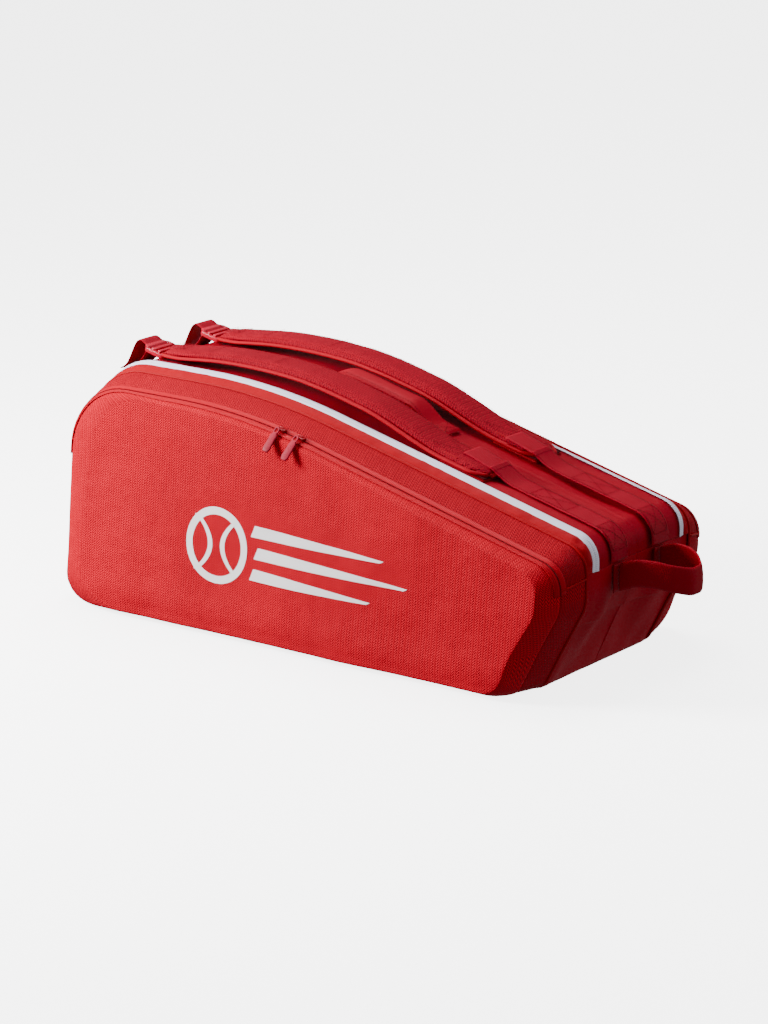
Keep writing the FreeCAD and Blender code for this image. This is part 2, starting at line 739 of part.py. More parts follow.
def make_grab_loop():
    """A band on edge, bent into a U beyond the handle end, and its two sewn ends."""
    tab_face = s.handle_end + s.seat
    loop_start = tab_face + s.web_thick + s.free / 2
    loop_end = s.handle_end + s.loop_reach
    outer_half = s.loop_half + s.loop_thick / 2
    inner_half = s.loop_half - s.loop_thick / 2
    outer_nose = s.loop_nose
    inner_nose = s.loop_nose - s.loop_thick
    inner_end = loop_end - s.loop_thick
    inner_radius = s.loop_radius - s.loop_thick
    corners = [
        (loop_start, -outer_half, SHARP), (loop_end, -outer_nose, s.loop_radius),
        (loop_end, outer_nose, s.loop_radius), (loop_start, outer_half, SHARP),
        (loop_start, inner_half, SHARP), (inner_end, inner_nose, inner_radius),
        (inner_end, -inner_nose, inner_radius), (loop_start, -inner_half, SHARP),
    ]
    body = new_body("grab_loop")
    sketch = new_sketch(body, "grab_loop_outline", "XY_Plane", s.loop_top - s.loop_wide)
    add_loop(sketch, corners)
    pad(body, sketch, s.loop_wide)
    body = new_body("grab_loop_tabs")
    sketch = new_sketch(body, "grab_loop_tabs_outline", "XY_Plane", s.loop_top - s.loop_wide)
    for middle in (-s.loop_half, s.loop_half):
        low = middle - s.tab_long / 2
        add_loop(sketch, rectangle(tab_face, tab_face + s.web_thick, low, low + s.tab_long))
    pad(body, sketch, s.loop_wide)


# ---------------------------------------------------------------- sliders and pullers

def make_slider(label, x, y, z, turns):
    """A zip slider, its long side along the zip, its back up."""
    body = new_body(label)
    half = s.slider_long / 2
    sketch = new_sketch(body, f"{label}_outline", "XZ_Plane", -s.slider_wide / 2)
    add_loop(sketch, [
        (-half, 0, SHARP), (half, 0, SHARP), (half, s.slider_high / 2, SHARP),
        (half / 2, s.slider_high, SHARP), (-half / 2, s.slider_high, SHARP),
        (-half, s.slider_high / 2, SHARP),
    ])
    pad(body, sketch, s.slider_wide)
    place(body, x, y, z, turns)


def make_puller(label, x, y, z, turns):
    """A zip puller hanging from its upper end, flat side out."""
    body = new_body(label)
    half = s.puller_wide / 2
    sketch = new_sketch(body, f"{label}_outline", "XZ_Plane", -s.puller_thick / 2)
    add_loop(sketch, rectangle(-half, half, -s.puller_long, as_size(0)))
    pad(body, sketch, s.puller_thick)
    place(body, x, y, z, turns)


def pocket_zip_point(x):
    """Height and fall, in degrees, of the pocket zip above a place x."""
    lower = (s.pod_drop + s.zip_rise).number
    height = panel_height(as_size(x)).number - lower
    start = (-s.crown_break - crown_reach()).number
    end = (crown_reach() - s.crown_break).number
    run = min(max(x, start), end) - start
    return height, math.degrees(math.asin(run / s.crown_radius.number))


def make_pocket_sliders(name, side):
    slider_half = s.slider_wide.number / 2
    slider_y = s.pod_edge.number
    inner_drop = s.pod_drop.number * slider_half / (s.pod_edge - s.seam_half).number
    raise_by = (s.seat + s.tape).number + inner_drop
    for place_name, x in [("head", -s.slider_head_x.number), ("handle", -s.slider_handle_x.number)]:
        height, fall = pocket_zip_point(x)
        slider_z = height + raise_by
        label = f"{name}_{place_name}"
        make_slider(f"pocket_slider_{label}", x, -side * slider_y, slider_z, [(ACROSS, fall)])
        hinge_y = -side * (slider_y + slider_half + s.free.number + s.puller_thick.number / 2)
        hinge_z = slider_z + s.slider_high.number
        lean = -side * s.puller_lean.number
        turns = [(ALONG, lean), (ACROSS, fall)]
        make_puller(f"pocket_puller_{label}", x, hinge_y, hinge_z, turns)


def make_main_slider(name, side):
    """The slider of a main zip, near the lower end of the zip, and its puller."""
    z = s.main_slider_z.number
    outline_x = head_line(s.main_slider_z, 0, 0).number
    lean = math.degrees(math.atan2((s.head_base - s.head_top).number, s.crown_height.number))
    y = -side * (s.panel_half + s.zip_width + s.zip_gap / 2).number
    slider_x = outline_x - s.free.number
    make_slider(f"main_slider_{name}", slider_x, y, z, [(ACROSS, -90 + lean)])
    puller_x = slider_x - (s.slider_high + s.free + s.puller_thick / 2).number
    make_puller(f"main_puller_{name}", puller_x, y, z + s.puller_wide.number / 2, [(UP, 90)])


def check_document():
    """Every object is computed and every node is one or more valid closed solids."""
    for item in doc.Objects:
        if "Invalid" in item.State or "Error" in item.State:
            raise RuntimeError(f"{item.Label} failed: {item.State}")
    for node in nodes:
        if node.Shape.isNull() or not node.Shape.isValid() or not node.Shape.Solids:
            raise RuntimeError(f"{node.Label} has no valid solid")


def write_parts():
    os.makedirs("parts", exist_ok=True)
    for node in nodes:
        node.Shape.exportStep(f"parts/{node.Label}.step")


def main():
    make_base()
    make_top_panel()
    make_head_gusset()
    make_handle_gusset()
    make_divider()
    for name, side in SIDES:
        make_main_zip(name, side)
        make_pod(name, side)
        make_pocket_panel(name, side)
        make_pocket_zip(name, side)
        make_pocket_sliders(name, side)
        make_main_slider(name, side)
        make_strap(name, side)
        make_lock(name, side)
    make_haul_handle()
    make_grab_loop()
    doc.recompute()
    check_document()
    write_parts()


main()
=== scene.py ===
"""Racket tournament bag: the fabric, zips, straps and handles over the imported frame."""
import json
import math

import bmesh
import bpy
import numpy as np
from mathutils import Matrix, Vector, noise


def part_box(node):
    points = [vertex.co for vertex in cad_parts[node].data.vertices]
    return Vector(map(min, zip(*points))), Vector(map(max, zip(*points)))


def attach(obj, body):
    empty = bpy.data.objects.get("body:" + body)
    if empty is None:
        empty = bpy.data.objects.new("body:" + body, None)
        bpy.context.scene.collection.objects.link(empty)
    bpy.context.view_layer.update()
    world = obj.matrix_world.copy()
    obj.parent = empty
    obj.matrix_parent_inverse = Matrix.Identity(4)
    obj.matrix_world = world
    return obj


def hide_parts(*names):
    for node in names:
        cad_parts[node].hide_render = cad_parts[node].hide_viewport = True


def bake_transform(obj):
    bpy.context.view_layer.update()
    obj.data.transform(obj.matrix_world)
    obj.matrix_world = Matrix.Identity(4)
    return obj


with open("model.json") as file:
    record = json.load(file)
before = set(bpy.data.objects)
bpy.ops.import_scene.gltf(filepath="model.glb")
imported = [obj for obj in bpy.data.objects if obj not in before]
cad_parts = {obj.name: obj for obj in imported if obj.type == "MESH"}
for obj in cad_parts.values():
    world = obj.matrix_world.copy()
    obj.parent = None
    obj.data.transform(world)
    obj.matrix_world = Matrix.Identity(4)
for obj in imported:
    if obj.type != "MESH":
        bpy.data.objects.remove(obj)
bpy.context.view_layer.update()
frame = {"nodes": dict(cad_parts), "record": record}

JOINTS = {joint["name"]: joint for joint in frame["record"]["behaviour"]["joints"]}

# ---------------------------------------------------------------- sizes, in metres
HEAD_BASE = 0.413            # head end at the ground
HEAD_TOP = 0.392             # head end at the top
CROWN = 0.311                # pod seam over the head end
BREAK = 0.105                # where the level top meets the slope
HANDLE_END = 0.387
HANDLE_TOP = 0.186           # pod seam at the handle end
HANDLE_WALL = 0.118          # where the handle end starts to lean in
HANDLE_BASE = 0.325
CROWN_RADIUS = 0.885
ZIP_RISE = 0.009             # main zip above the pod seam
PANEL_Y = 0.094              # half width of the top panel
ZIP_OUT_Y = 0.1023           # outer edge of a main zip
SEAM_Y = 0.117
POCKET_Y = 0.157             # middle of a pocket zip
TAPE = 0.007                 # one side of a pocket zip
FACE_Y = 0.196
FACE_LEAN = math.tan(math.radians(4.7))
ZIP_LOW = 0.012              # lower end of a main zip on the head end
ZIP_END = 0.158              # end of a main zip on the handle end
HEAD_JOIN = 0.205            # top of the head gusset
ZIP_FOOT_HEAD = 0.198        # a pocket zip ends here on the head side
ZIP_FOOT_HANDLE = 0.140      # and here on the handle side
STRAP_Y = 0.058              # middle of a shoulder strap
WEB_Y = 0.046                # middle of the sewn webbing
STRAP_WIDE = 0.061
SIDES = [("front", 1), ("rear", -1)]
FALL = (CROWN - HANDLE_TOP) / (HANDLE_END + BREAK)
REACH = CROWN_RADIUS * (math.sqrt(1 + FALL * FALL) - 1) / FALL


def crown(x, level=CROWN + ZIP_RISE):
    """Height of the top of the bag at a place along it."""
    start, end = -BREAK - REACH, REACH - BREAK
    if x < start:
        return level
    if x > end:
        return level - FALL * (x + BREAK)
    return level - CROWN_RADIUS + math.sqrt(CROWN_RADIUS ** 2 - (x - start) ** 2)


def head_x(z, inset=0.0):
    return -(HEAD_BASE - (HEAD_BASE - HEAD_TOP) * z / CROWN) + inset


def handle_x(z, inset=0.0):
    low = HANDLE_BASE + (HANDLE_END - HANDLE_BASE) * z / HANDLE_WALL
    return min(low, HANDLE_END) - inset


def rough(p, size, seed=0.0):
    """Smooth noise of about -1 to 1 at a point, for folds of this size."""
    return noise.noise(Vector((p[0] / size + seed, p[1] / size - seed, p[2] / size + 2 * seed)))


# ---------------------------------------------------------------- mesh helpers

def mesh_object(name, vertices, faces, uvs=None, smooth=True):
    """A mesh object from points and faces; uvs is one (u, v) in metres for each vertex."""
    mesh = bpy.data.meshes.new(name)
    mesh.from_pydata([tuple(map(float, p)) for p in vertices], [], [list(map(int, f)) for f in faces])
    if uvs is not None:
        layer = mesh.uv_layers.new(name="weave")
        loops = np.empty(len(mesh.loops), dtype=np.int32)
        mesh.loops.foreach_get("vertex_index", loops)
        layer.data.foreach_set("uv", np.asarray(uvs, dtype=np.float32)[loops].ravel())
    tidy = bmesh.new()
    tidy.from_mesh(mesh)
    bmesh.ops.recalc_face_normals(tidy, faces=tidy.faces)
    tidy.to_mesh(mesh)
    tidy.free()
    mesh.polygons.foreach_set("use_smooth", [smooth] * len(mesh.polygons))
    piece = bpy.data.objects.new(name, mesh)
    bpy.context.scene.collection.objects.link(piece)
    return piece


def grid_object(name, points, uvs, closed=False, outward=None):
    """A sheet from a (rows, columns, 3) array; closed joins the last row to the first."""
    rows, columns = points.shape[:2]
    faces = []
    for i in range(rows if closed else rows - 1):
        j = (i + 1) % rows
        for k in range(columns - 1):
            a, b, c, d = i * columns + k, j * columns + k, j * columns + k + 1, i * columns + k + 1
            faces.append((a, b, c, d))
    piece = mesh_object(name, points.reshape(-1, 3), faces, uvs.reshape(-1, 2))
    if outward is not None:
        mesh = piece.data
        middle = mesh.polygons[len(mesh.polygons) // 2]
        if middle.normal.dot(Vector(outward)) < 0:
            mesh.flip_normals()
    return piece


def thicken(piece, thickness, subdivide=0):
    """Cloth of this thickness, inwards from the modelled surface."""
    solid = piece.modifiers.new("cloth", "SOLIDIFY")
    solid.thickness = thickness
    solid.offset = -1
    if subdivide:
        add_smoothing(piece, subdivide)
    return piece


def add_smoothing(piece, levels=1):
    smooth = piece.modifiers.new("smooth", "SUBSURF")
    smooth.levels = levels
    smooth.render_levels = levels


def settle(piece, body, material, slot, *nodes):
    """Give a finished piece its material and body, and hide the CAD nodes it stands for; slot is not used."""
    piece.data.materials.clear()
    piece.data.materials.append(material)
    if body:
        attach(piece, body)
    if nodes:
        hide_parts(*nodes)
    return piece


def rounded(corners, closed, arc_steps, edge_steps):
    """Points along an outline of (x, z, radius) corners, evenly matched between outlines."""
    points = []
    count = len(corners)
    bends = []
    for i, (x, z, radius) in enumerate(corners):
        here = np.array((x, z))
        if not closed and i in (0, count - 1):
            bends.append([here])
            continue
        before = np.array(corners[i - 1][:2])
        after = np.array(corners[(i + 1) % count][:2])
        way_in = (here - before) / np.linalg.norm(here - before)
        way_out = (after - here) / np.linalg.norm(after - here)
        turn = math.atan2(way_in[0] * way_out[1] - way_in[1] * way_out[0], way_in @ way_out)
        first = here - way_in * radius * math.tan(abs(turn) / 2)
        centre = first + np.array((-way_in[1], way_in[0])) * radius * math.copysign(1, turn)
        arm = first - centre
        arc = []
        for k in range(arc_steps + 1):
            c, s = math.cos(turn * k / arc_steps), math.sin(turn * k / arc_steps)
            arc.append(centre + np.array((c * arm[0] - s * arm[1], s * arm[0] + c * arm[1])))
        bends.append(arc)
    for i in range(count):
        points.extend(bends[i])
        if closed or i < count - 1:
            start, end = bends[i][-1], bends[(i + 1) % count][0]
            steps = edge_steps[i % len(edge_steps)]
            for k in range(1, steps):
                points.append(start + (end - start) * k / steps)
    return np.array(points)


def top_line(drop, inset, head_low, handle_low, end_inset=None):
    """Open line from the handle end, over the top, down the head end."""
    level, low = CROWN - drop, HANDLE_TOP - drop
    end = inset if end_inset is None else end_inset
    return rounded([
        (handle_x(handle_low, end), handle_low, 0), (HANDLE_END - end, low, 0.034),
        (-BREAK, level, CROWN_RADIUS), (head_x(level, inset), level, 0.095 - inset * 0.3),
        (head_x(head_low, inset), head_low, 0),
    ], False, 16, [6, 46, 16, 30])


def ring(drop, head, handle, base, lift, more=0.0, facet=0.0):
    """Closed line round the whole side of the bag, from the head end at the ground."""
    level, low = CROWN - drop, HANDLE_TOP - drop
    return rounded([
        (head_x(lift, head), lift, 0.03 + more), (handle_x(lift, base), lift, 0.022 + more * 0.5),
        (handle_x(0.062, base + facet) - 0.001, 0.062, 0.05),
                    (HANDLE_END - handle, HANDLE_WALL - facet * 0.2, 0.045),
        (HANDLE_END - handle, low, 0.034),
        (-BREAK, level, CROWN_RADIUS), (head_x(level, head), level, 0.095 - head * 0.3),
    ], True, 12, [110, 8, 6, 4, 60, 24, 36])


def outward_of(line, closed):
    """Unit normals that point out of the bag, for a line run the way ring() runs."""
    if closed:
        step = np.roll(line, -1, axis=0) - np.roll(line, 1, axis=0)
    else:
        step = np.gradient(line, axis=0)
    step /= np.maximum(np.linalg.norm(step, axis=1)[:, None], 1e-9)
    return np.column_stack([step[:, 1], -step[:, 0]])


def distance_along(line):
    return np.concatenate([[0], np.cumsum(np.linalg.norm(np.diff(line, axis=0), axis=1))])


def loft(name, rows, side, closed=False, shape=None):
    """A sheet through rows of (distance from the middle, line, push outwards).

    shape(point, along, across) may return an extra push outwards at a point.
    """
    lines = [row[1] for row in rows]
    normals = [outward_of(line, closed) for line in lines]
    along = distance_along(lines[0])
    count = len(along)
    points = np.empty((count, len(rows), 3))
    uvs = np.empty((count, len(rows), 2))
    across = 0.0
    for k, (y, line, push) in enumerate(rows):
        if k:
            gap = np.linalg.norm(line - lines[k - 1], axis=1).mean()
            across += math.hypot(gap, y - rows[k - 1][0])
        for i in range(count):
            out = push
            point = (line[i][0], -side * y, line[i][1])
            if shape:
                out = push + shape(point, along[i] / along[-1], k / (len(rows) - 1))
            points[i, k] = (point[0] + normals[k][i][0] * out, point[1], point[2] + normals[k][i][1] * out)
            uvs[i, k] = (along[i], across)
    return grid_object(name, points, uvs, closed)


def tube(name, path, radius, sides=8, closed=False, flat=1.0):
    """A round cord along a path of 3-D points."""
    path = np.asarray(path, dtype=float)
    count = len(path)
    if closed:
        step = np.roll(path, -1, axis=0) - np.roll(path, 1, axis=0)
    else:
        step = np.gradient(path, axis=0)
    step /= np.linalg.norm(step, axis=1)[:, None]
    along = distance_along(path)
    vertices, uvs, faces = [], [], []
    for i in range(count):
        side_way = np.cross(step[i], (0.0, 1.0, 0.0)) if abs(step[i][1]) < 0.9 else np.cross(step[i],
                (1.0, 0.0, 0.0))
        side_way /= np.linalg.norm(side_way)
        up_way = np.cross(step[i], side_way)
        for k in range(sides):
            angle = 2 * math.pi * k / sides
            vertices.append(path[i] + side_way * math.cos(angle) * radius
                            + up_way * math.sin(angle) * radius * flat)
            uvs.append((along[i], radius * angle))
    for i in range(count if closed else count - 1):
        j = (i + 1) % count
        for k in range(sides):
            m = (k + 1) % sides
            faces.append((i * sides + k, i * sides + m, j * sides + m, j * sides + k))
    if not closed:
        faces.append(tuple(range(sides)))
        faces.append(tuple(range((count - 1) * sides, count * sides)))
    return mesh_object(name, vertices, faces, uvs)


def ribbon(name, path, wide, thick, side_way=(0, 1, 0), crease=0.0, steps=8):
    """A strip of webbing along a path; side_way is the direction of its width."""
    path = np.asarray(path, dtype=float)
    step = np.gradient(path, axis=0)
    step /= np.linalg.norm(step, axis=1)[:, None]
    across = np.array(side_way, dtype=float)
    along = distance_along(path)
    vertices, uvs, faces = [], [], []
    profile = [(-0.5 + k / steps, 0.5) for k in range(steps + 1)] + [(0.5 - k / steps, -0.5)
            for k in range(steps + 1)]
    size = len(profile)
    for i, point in enumerate(path):
        normal = np.cross(step[i], across)
        normal /= np.linalg.norm(normal)
        for a, n in profile:
            edge = 0.55 if abs(a) > 0.49 else 1.0
            vertices.append(point + across * a * wide + normal * (n * thick * edge
                    + crease * (1 - (2 * a) ** 2)))
            uvs.append((along[i], a * wide if n > 0 else -a * wide))
    faces += rod_faces(len(path), size)
    return mesh_object(name, vertices, faces, uvs)


def smooth_path(points, count):
    """A smooth line through a few points, as count even ones."""
    points = np.asarray(points, dtype=float)
    spots = distance_along(points)
    ends = np.vstack([2 * points[0] - points[1], points, 2 * points[-1] - points[-2]])
    result = []
    for t in np.linspace(0, spots[-1], count):
        i = min(max(int(np.searchsorted(spots, t, side="right")) - 1, 0), len(points) - 2)
        u = (t - spots[i]) / (spots[i + 1] - spots[i])
        a, b, c, d = ends[i], ends[i + 1], ends[i + 2], ends[i + 3]
        result.append(0.5 * (2 * b + (c - a) * u + (2 * a - 5 * b + 4 * c - d) * u * u
                             + (3 * b - a - 3 * c + d) * u ** 3))
    return np.array(result)


def stitches(name, lines, pitch=0.0042, length=0.003, width=0.0009):
    """Thread stitches along lines of (points, normals)."""
    vertices, faces = [], []
    for points, normals in lines:
        points = np.asarray(points, dtype=float)
        normals = np.asarray(normals, dtype=float)
        along = distance_along(points)
        for spot in np.arange(pitch / 2, along[-1], pitch):
            here = np.array([np.interp(spot, along, points[:, k]) for k in range(3)])
            ahead = np.array([np.interp(min(spot + length, along[-1]), along, points[:, k])
                              for k in range(3)])
            normal = np.array([np.interp(spot, along, normals[:, k]) for k in range(3)])
            way = ahead - here
            if np.linalg.norm(way) < length * 0.5:
                continue
            way /= np.linalg.norm(way)
            normal /= np.linalg.norm(normal)
            across = np.cross(way, normal)
            base = len(vertices)
            for t, w, h in ((0, 0.5, 0.0), (0.3, 1, 0.8), (0.7, 1, 0.8), (1, 0.5, 0.0)):
                for c in (-1, 1):
                    vertices.append(here + way * t * length + across * c * w * width / 2
                                    + normal * (h * width * 0.6))
                vertices.append(here + way * t * length + normal * (h * width + 0.0001))
            for i in range(3):
                a = base + i * 3
                faces += [(a, a + 3, a + 5, a + 2), (a + 2, a + 5, a + 4, a + 1)]
    return mesh_object(name, vertices, faces)


def sewn_box(a, b, c, spread):
    """The six lines of a sewn box from a to b, c to each side, its diagonals ending spread apart."""
    corners = [(a, -c), (b, -c), (b, c), (a, c), (a, -c)]
    return list(zip(corners, corners[1:])) + [((a, -c), (b, spread)), ((a, c), (b, -spread))]


def rod_faces(count, size):
    """The sides and then the two ends of a rod of this many rings of this size."""
    faces = []
    for i in range(count - 1):
        for k in range(size):
            m = (k + 1) % size
            faces.append((i * size + k, i * size + m, (i + 1) * size + m, (i + 1) * size + k))
    return faces + [tuple(range(size)), tuple(range((count - 1) * size, count * size))]


def puff(piece, voxel, pressure, cap):
    """Swell a closed pad by cloth simulation, each point moving at most cap."""
    remesh = piece.modifiers.new("remesh", "REMESH")
    remesh.mode = "VOXEL"
    remesh.voxel_size = voxel
    bake(piece)
    before = np.empty(len(piece.data.vertices) * 3)
    piece.data.vertices.foreach_get("co", before)
    cloth = piece.modifiers.new("swell", "CLOTH")
    cloth.settings.use_pressure = True
    cloth.settings.uniform_pressure_force = pressure
    cloth.settings.effector_weights.gravity = 0
    cloth.settings.quality = 5
    cloth.settings.mass = 0.2
    cloth.settings.tension_stiffness = 12
    cloth.settings.compression_stiffness = 12
    cloth.settings.bending_stiffness = 0.6
    cloth.point_cache.frame_start = 1
    cloth.point_cache.frame_end = 20
    scene = bpy.context.scene
    for step in range(1, 21):
        scene.frame_set(step)
    bake(piece)
    scene.frame_set(1)
    after = np.empty(len(piece.data.vertices) * 3)
    piece.data.vertices.foreach_get("co", after)
    move = (after - before).reshape(-1, 3)
    size = np.linalg.norm(move, axis=1)[:, None]
    move *= np.minimum(1, cap / np.maximum(size, 1e-9))
    piece.data.vertices.foreach_set("co", (before.reshape(-1, 3) + move).ravel())
    piece.data.update()
    piece.data.polygons.foreach_set("use_smooth", [True] * len(piece.data.polygons))
    add_smoothing(piece)
    return piece


def bake(piece):
    """Apply the modifiers of a piece to its mesh."""
    graph = bpy.context.evaluated_depsgraph_get()
    graph.update()
    mesh = bpy.data.meshes.new_from_object(piece.evaluated_get(graph))
    old = piece.data
    piece.modifiers.clear()
    piece.data = mesh
    bpy.data.meshes.remove(old)
    mesh.name = piece.name


# ---------------------------------------------------------------- materials

class Nodes:
    """Short names for building a procedural material."""

    def __init__(self, name):
        self.material = bpy.data.materials.new(name)
        self.material.use_nodes = True
        self.tree = self.material.node_tree
        self.surface = self.tree.nodes["Principled BSDF"]

    def add(self, kind, settings=(), **values):
        node = self.tree.nodes.new(kind)
        for key, value in dict(settings).items():
            setattr(node, key, value)
        for key, value in values.items():
            self.feed(node.inputs[key.replace("_", " ")], value)
        return node

    def feed(self, socket, value):
        if isinstance(value, bpy.types.NodeSocket):
            self.tree.links.new(value, socket)
        elif value is not None:
            socket.default_value = value

    def put(self, name, value):
        self.feed(self.surface.inputs[name], value)

    def wave(self, value, length):
        return self.math("SINE", self.math("MULTIPLY", self.math("DIVIDE", value, length), 2 * math.pi))

    def math(self, operation, a, b=None, c=None):
        node = self.add("ShaderNodeMath", {"operation": operation})
        for socket, value in zip(node.inputs, (a, b, c)):
            self.feed(socket, value)
        return node.outputs[0]

    def mix(self, share, a, b):
        node = self.add("ShaderNodeMix", {"data_type": "RGBA"})
        self.feed(node.inputs[0], share)
        self.feed(node.inputs[6], a)
        self.feed(node.inputs[7], b)
        return node.outputs[2]

    def between(self, value, low, high, new_low=0.0, new_high=1.0):
        node = self.add("ShaderNodeMapRange")
        for socket, item in zip(node.inputs, (value, low, high, new_low, new_high)):
            self.feed(socket, item)
        return node.outputs[0]

    def noise(self, where, scale, detail=3.0, roughness=0.5):
        node = self.add("ShaderNodeTexNoise", Vector=where, Scale=scale, Detail=detail, Roughness=roughness)
        return node.outputs[0]

    def place(self, coordinates):
        """Two surface coordinates in metres and the position, from the map or two axes."""
        spot = self.add("ShaderNodeTexCoord").outputs["Object"]
        if coordinates == "map":
            split = self.add("ShaderNodeSeparateXYZ", Vector=self.add("ShaderNodeUVMap",
                    {"uv_map": "weave"}).outputs[0])
            return split.outputs[0], split.outputs[1], spot
        split = self.add("ShaderNodeSeparateXYZ", Vector=spot)
        return split.outputs["xyz".index(coordinates[0])], split.outputs["xyz".index(coordinates[1])], spot


def colour(red, green, blue):
    return (red, green, blue, 1.0)


def triangle(n, value):
    """A wave between 0 and 1 that rises and falls once in each unit."""
    return n.math("PINGPONG", value, 0.5)


def fabric(name, light, dark, pattern, coordinates="map", pitch=0.0026, roughness=0.62, sheen=0.02,
           bump=0.0005, contrast=0.7, wrinkle=0.0012, wrinkle_scale=45.0, coat=0.0, specular=0.06):
    """Woven cloth: pattern is herringbone, plain, webbing, ribs, mesh or smooth."""
    n = Nodes(name)
    u, v, spot = n.place(coordinates)
    if pattern == "herringbone":
        # rows of diagonal floats that turn at each column
        turn = n.math("MULTIPLY", triangle(n, n.math("DIVIDE", u, pitch * 2.4)), 2.6)
        phase = n.math("ADD", n.math("DIVIDE", v, pitch), turn)
        rows = n.math("SINE", n.math("MULTIPLY", phase, 2 * math.pi))
        ribs = n.wave(u, pitch * 1.2)
        height = n.between(n.math("ADD", rows, n.math("MULTIPLY", ribs, 0.35)), -1.2, 1.2)
    elif pattern == "webbing":
        turn = n.math("MULTIPLY", triangle(n, n.math("DIVIDE", v, 0.0095)), 1.6)
        phase = n.math("ADD", n.math("DIVIDE", u, pitch), turn)
        rows = n.math("SINE", n.math("MULTIPLY", phase, 2 * math.pi))
        cords = n.wave(v, 0.0016)
        height = n.between(n.math("ADD", rows, n.math("MULTIPLY", cords, 0.6)), -1.6, 1.6)
    elif pattern == "ribs":
        rows = n.wave(u, pitch)
        height = n.between(rows, -1, 1)
    elif pattern == "mesh":
        along = n.wave(u, pitch)
        across = n.wave(v, pitch)
        height = n.between(n.math("MULTIPLY", along, across), -0.6, 0.3)
    else:
        fine = pitch if pattern == "plain" else 0.0009
        along = n.wave(u, fine)
        across = n.wave(v, fine)
        height = n.between(n.math("MULTIPLY", along, across), -1, 1)
    thread = n.noise(spot, 900.0, 2.0)
    cloud = n.noise(spot, 9.0, 4.0, 0.6)
    patchy = n.noise(spot, 60.0, 3.0, 0.6)
    # raised threads are coloured towards light and sunken ones towards dark: the weave pattern, with painted
    # highlight on the raised floats and painted shade between them
    share = n.math("ADD", n.math("MULTIPLY", height, contrast),
                   n.math("MULTIPLY", n.math("SUBTRACT", thread, 0.5), 0.35))
    shade = n.mix(n.math("ADD", share, (1 - contrast) / 2), dark, light)
    worn = n.mix(n.between(cloud, 0.3, 0.7, 0.0, 0.22), shade, dark)
    final = n.mix(n.between(patchy, 0.45, 0.8, 0.0, 0.12), worn, light)
    # wear: edges and raised folds rub paler
    edge = n.add("ShaderNodeNewGeometry").outputs["Pointiness"]
    final = n.mix(n.between(edge, 0.52, 0.62, 0.0, 0.25), final, light)
    n.put("Base Color", final)
    n.put("Roughness", n.between(n.math("ADD", height, n.math("MULTIPLY", thread, 0.6)), 0.0, 1.6,
                                 min(1.0, roughness + 0.12), roughness - 0.06))
    n.put("Sheen Weight", sheen)
    n.put("Sheen Roughness", 0.45)
    n.put("Sheen Tint", tuple(min(1.0, c * 1.3 + 0.05) for c in light[:3]) + (1.0,))
    n.put("Specular IOR Level", specular)
    n.put("Coat Weight", coat)
    n.put("Coat Roughness", 0.35)
    folds = n.add("ShaderNodeBump", Strength=0.55, Distance=wrinkle,
                  Height=n.noise(spot, wrinkle_scale, 3.0, 0.55))
    weave = n.add("ShaderNodeBump", Strength=0.8, Distance=bump,
                  Height=n.math("ADD", height, n.math("MULTIPLY", thread, 0.25)), Normal=folds.outputs[0])
    n.put("Normal", weave.outputs[0])
    return n.material


def plastic(name, light, dark, roughness=0.3, grain=350.0, metallic=0.0, bump=0.00015, coat=0.1):
    """Moulded plastic or painted metal with fine grain, flow marks and worn edges."""
    n = Nodes(name)
    spot = n.add("ShaderNodeTexCoord").outputs["Object"]
    flow = n.noise(spot, 35.0, 3.0)
    fine = n.noise(spot, grain, 3.0)
    shade = n.mix(n.between(flow, 0.3, 0.7), dark, light)
    edge = n.add("ShaderNodeNewGeometry").outputs["Pointiness"]
    pale = tuple(min(1.0, c * 1.5 + 0.01) for c in light[:3]) + (1.0,)
    shade = n.mix(n.between(edge, 0.53, 0.66, 0.0, 0.6), shade, pale)
    n.put("Base Color", shade)
    n.put("Metallic", metallic)
    n.put("Roughness", n.between(fine, 0.2, 0.8, roughness - 0.06, roughness + 0.1))
    n.put("Coat Weight", coat)
    n.put("Coat Roughness", 0.2)
    n.put("Specular IOR Level", 0.25)
    grainy = n.add("ShaderNodeBump", Strength=0.5, Distance=bump, Height=fine)
    n.put("Normal", grainy.outputs[0])
    return n.material


def thread_material(name, light, dark):
    """Twisted sewing thread."""
    n = Nodes(name)
    spot = n.add("ShaderNodeTexCoord").outputs["Object"]
    twist = n.add("ShaderNodeTexWave", {"bands_direction": "DIAGONAL"}, Vector=spot, Scale=700.0,
                  Distortion=1.0).outputs[1]
    n.put("Base Color", n.mix(twist, dark, light))
    n.put("Roughness", n.between(n.noise(spot, 500.0), 0.2, 0.8, 0.45, 0.7))
    n.put("Specular IOR Level", 0.05)
    n.put("Sheen Weight", 0.02)
    bump = n.add("ShaderNodeBump", Strength=0.6, Distance=0.0002, Height=twist)
    n.put("Normal", bump.outputs[0])
    return n.material


# the face herringbone runs at full contrast: its pale floats carry painted highlight and its dark floats
# painted shade, over the weave pattern
FACE = fabric("face_fabric", colour(0.7639, 0, 0.021), colour(0.1327, 0, 0.003), "herringbone", pitch=0.0033,
              contrast=1.0, bump=0.0006)
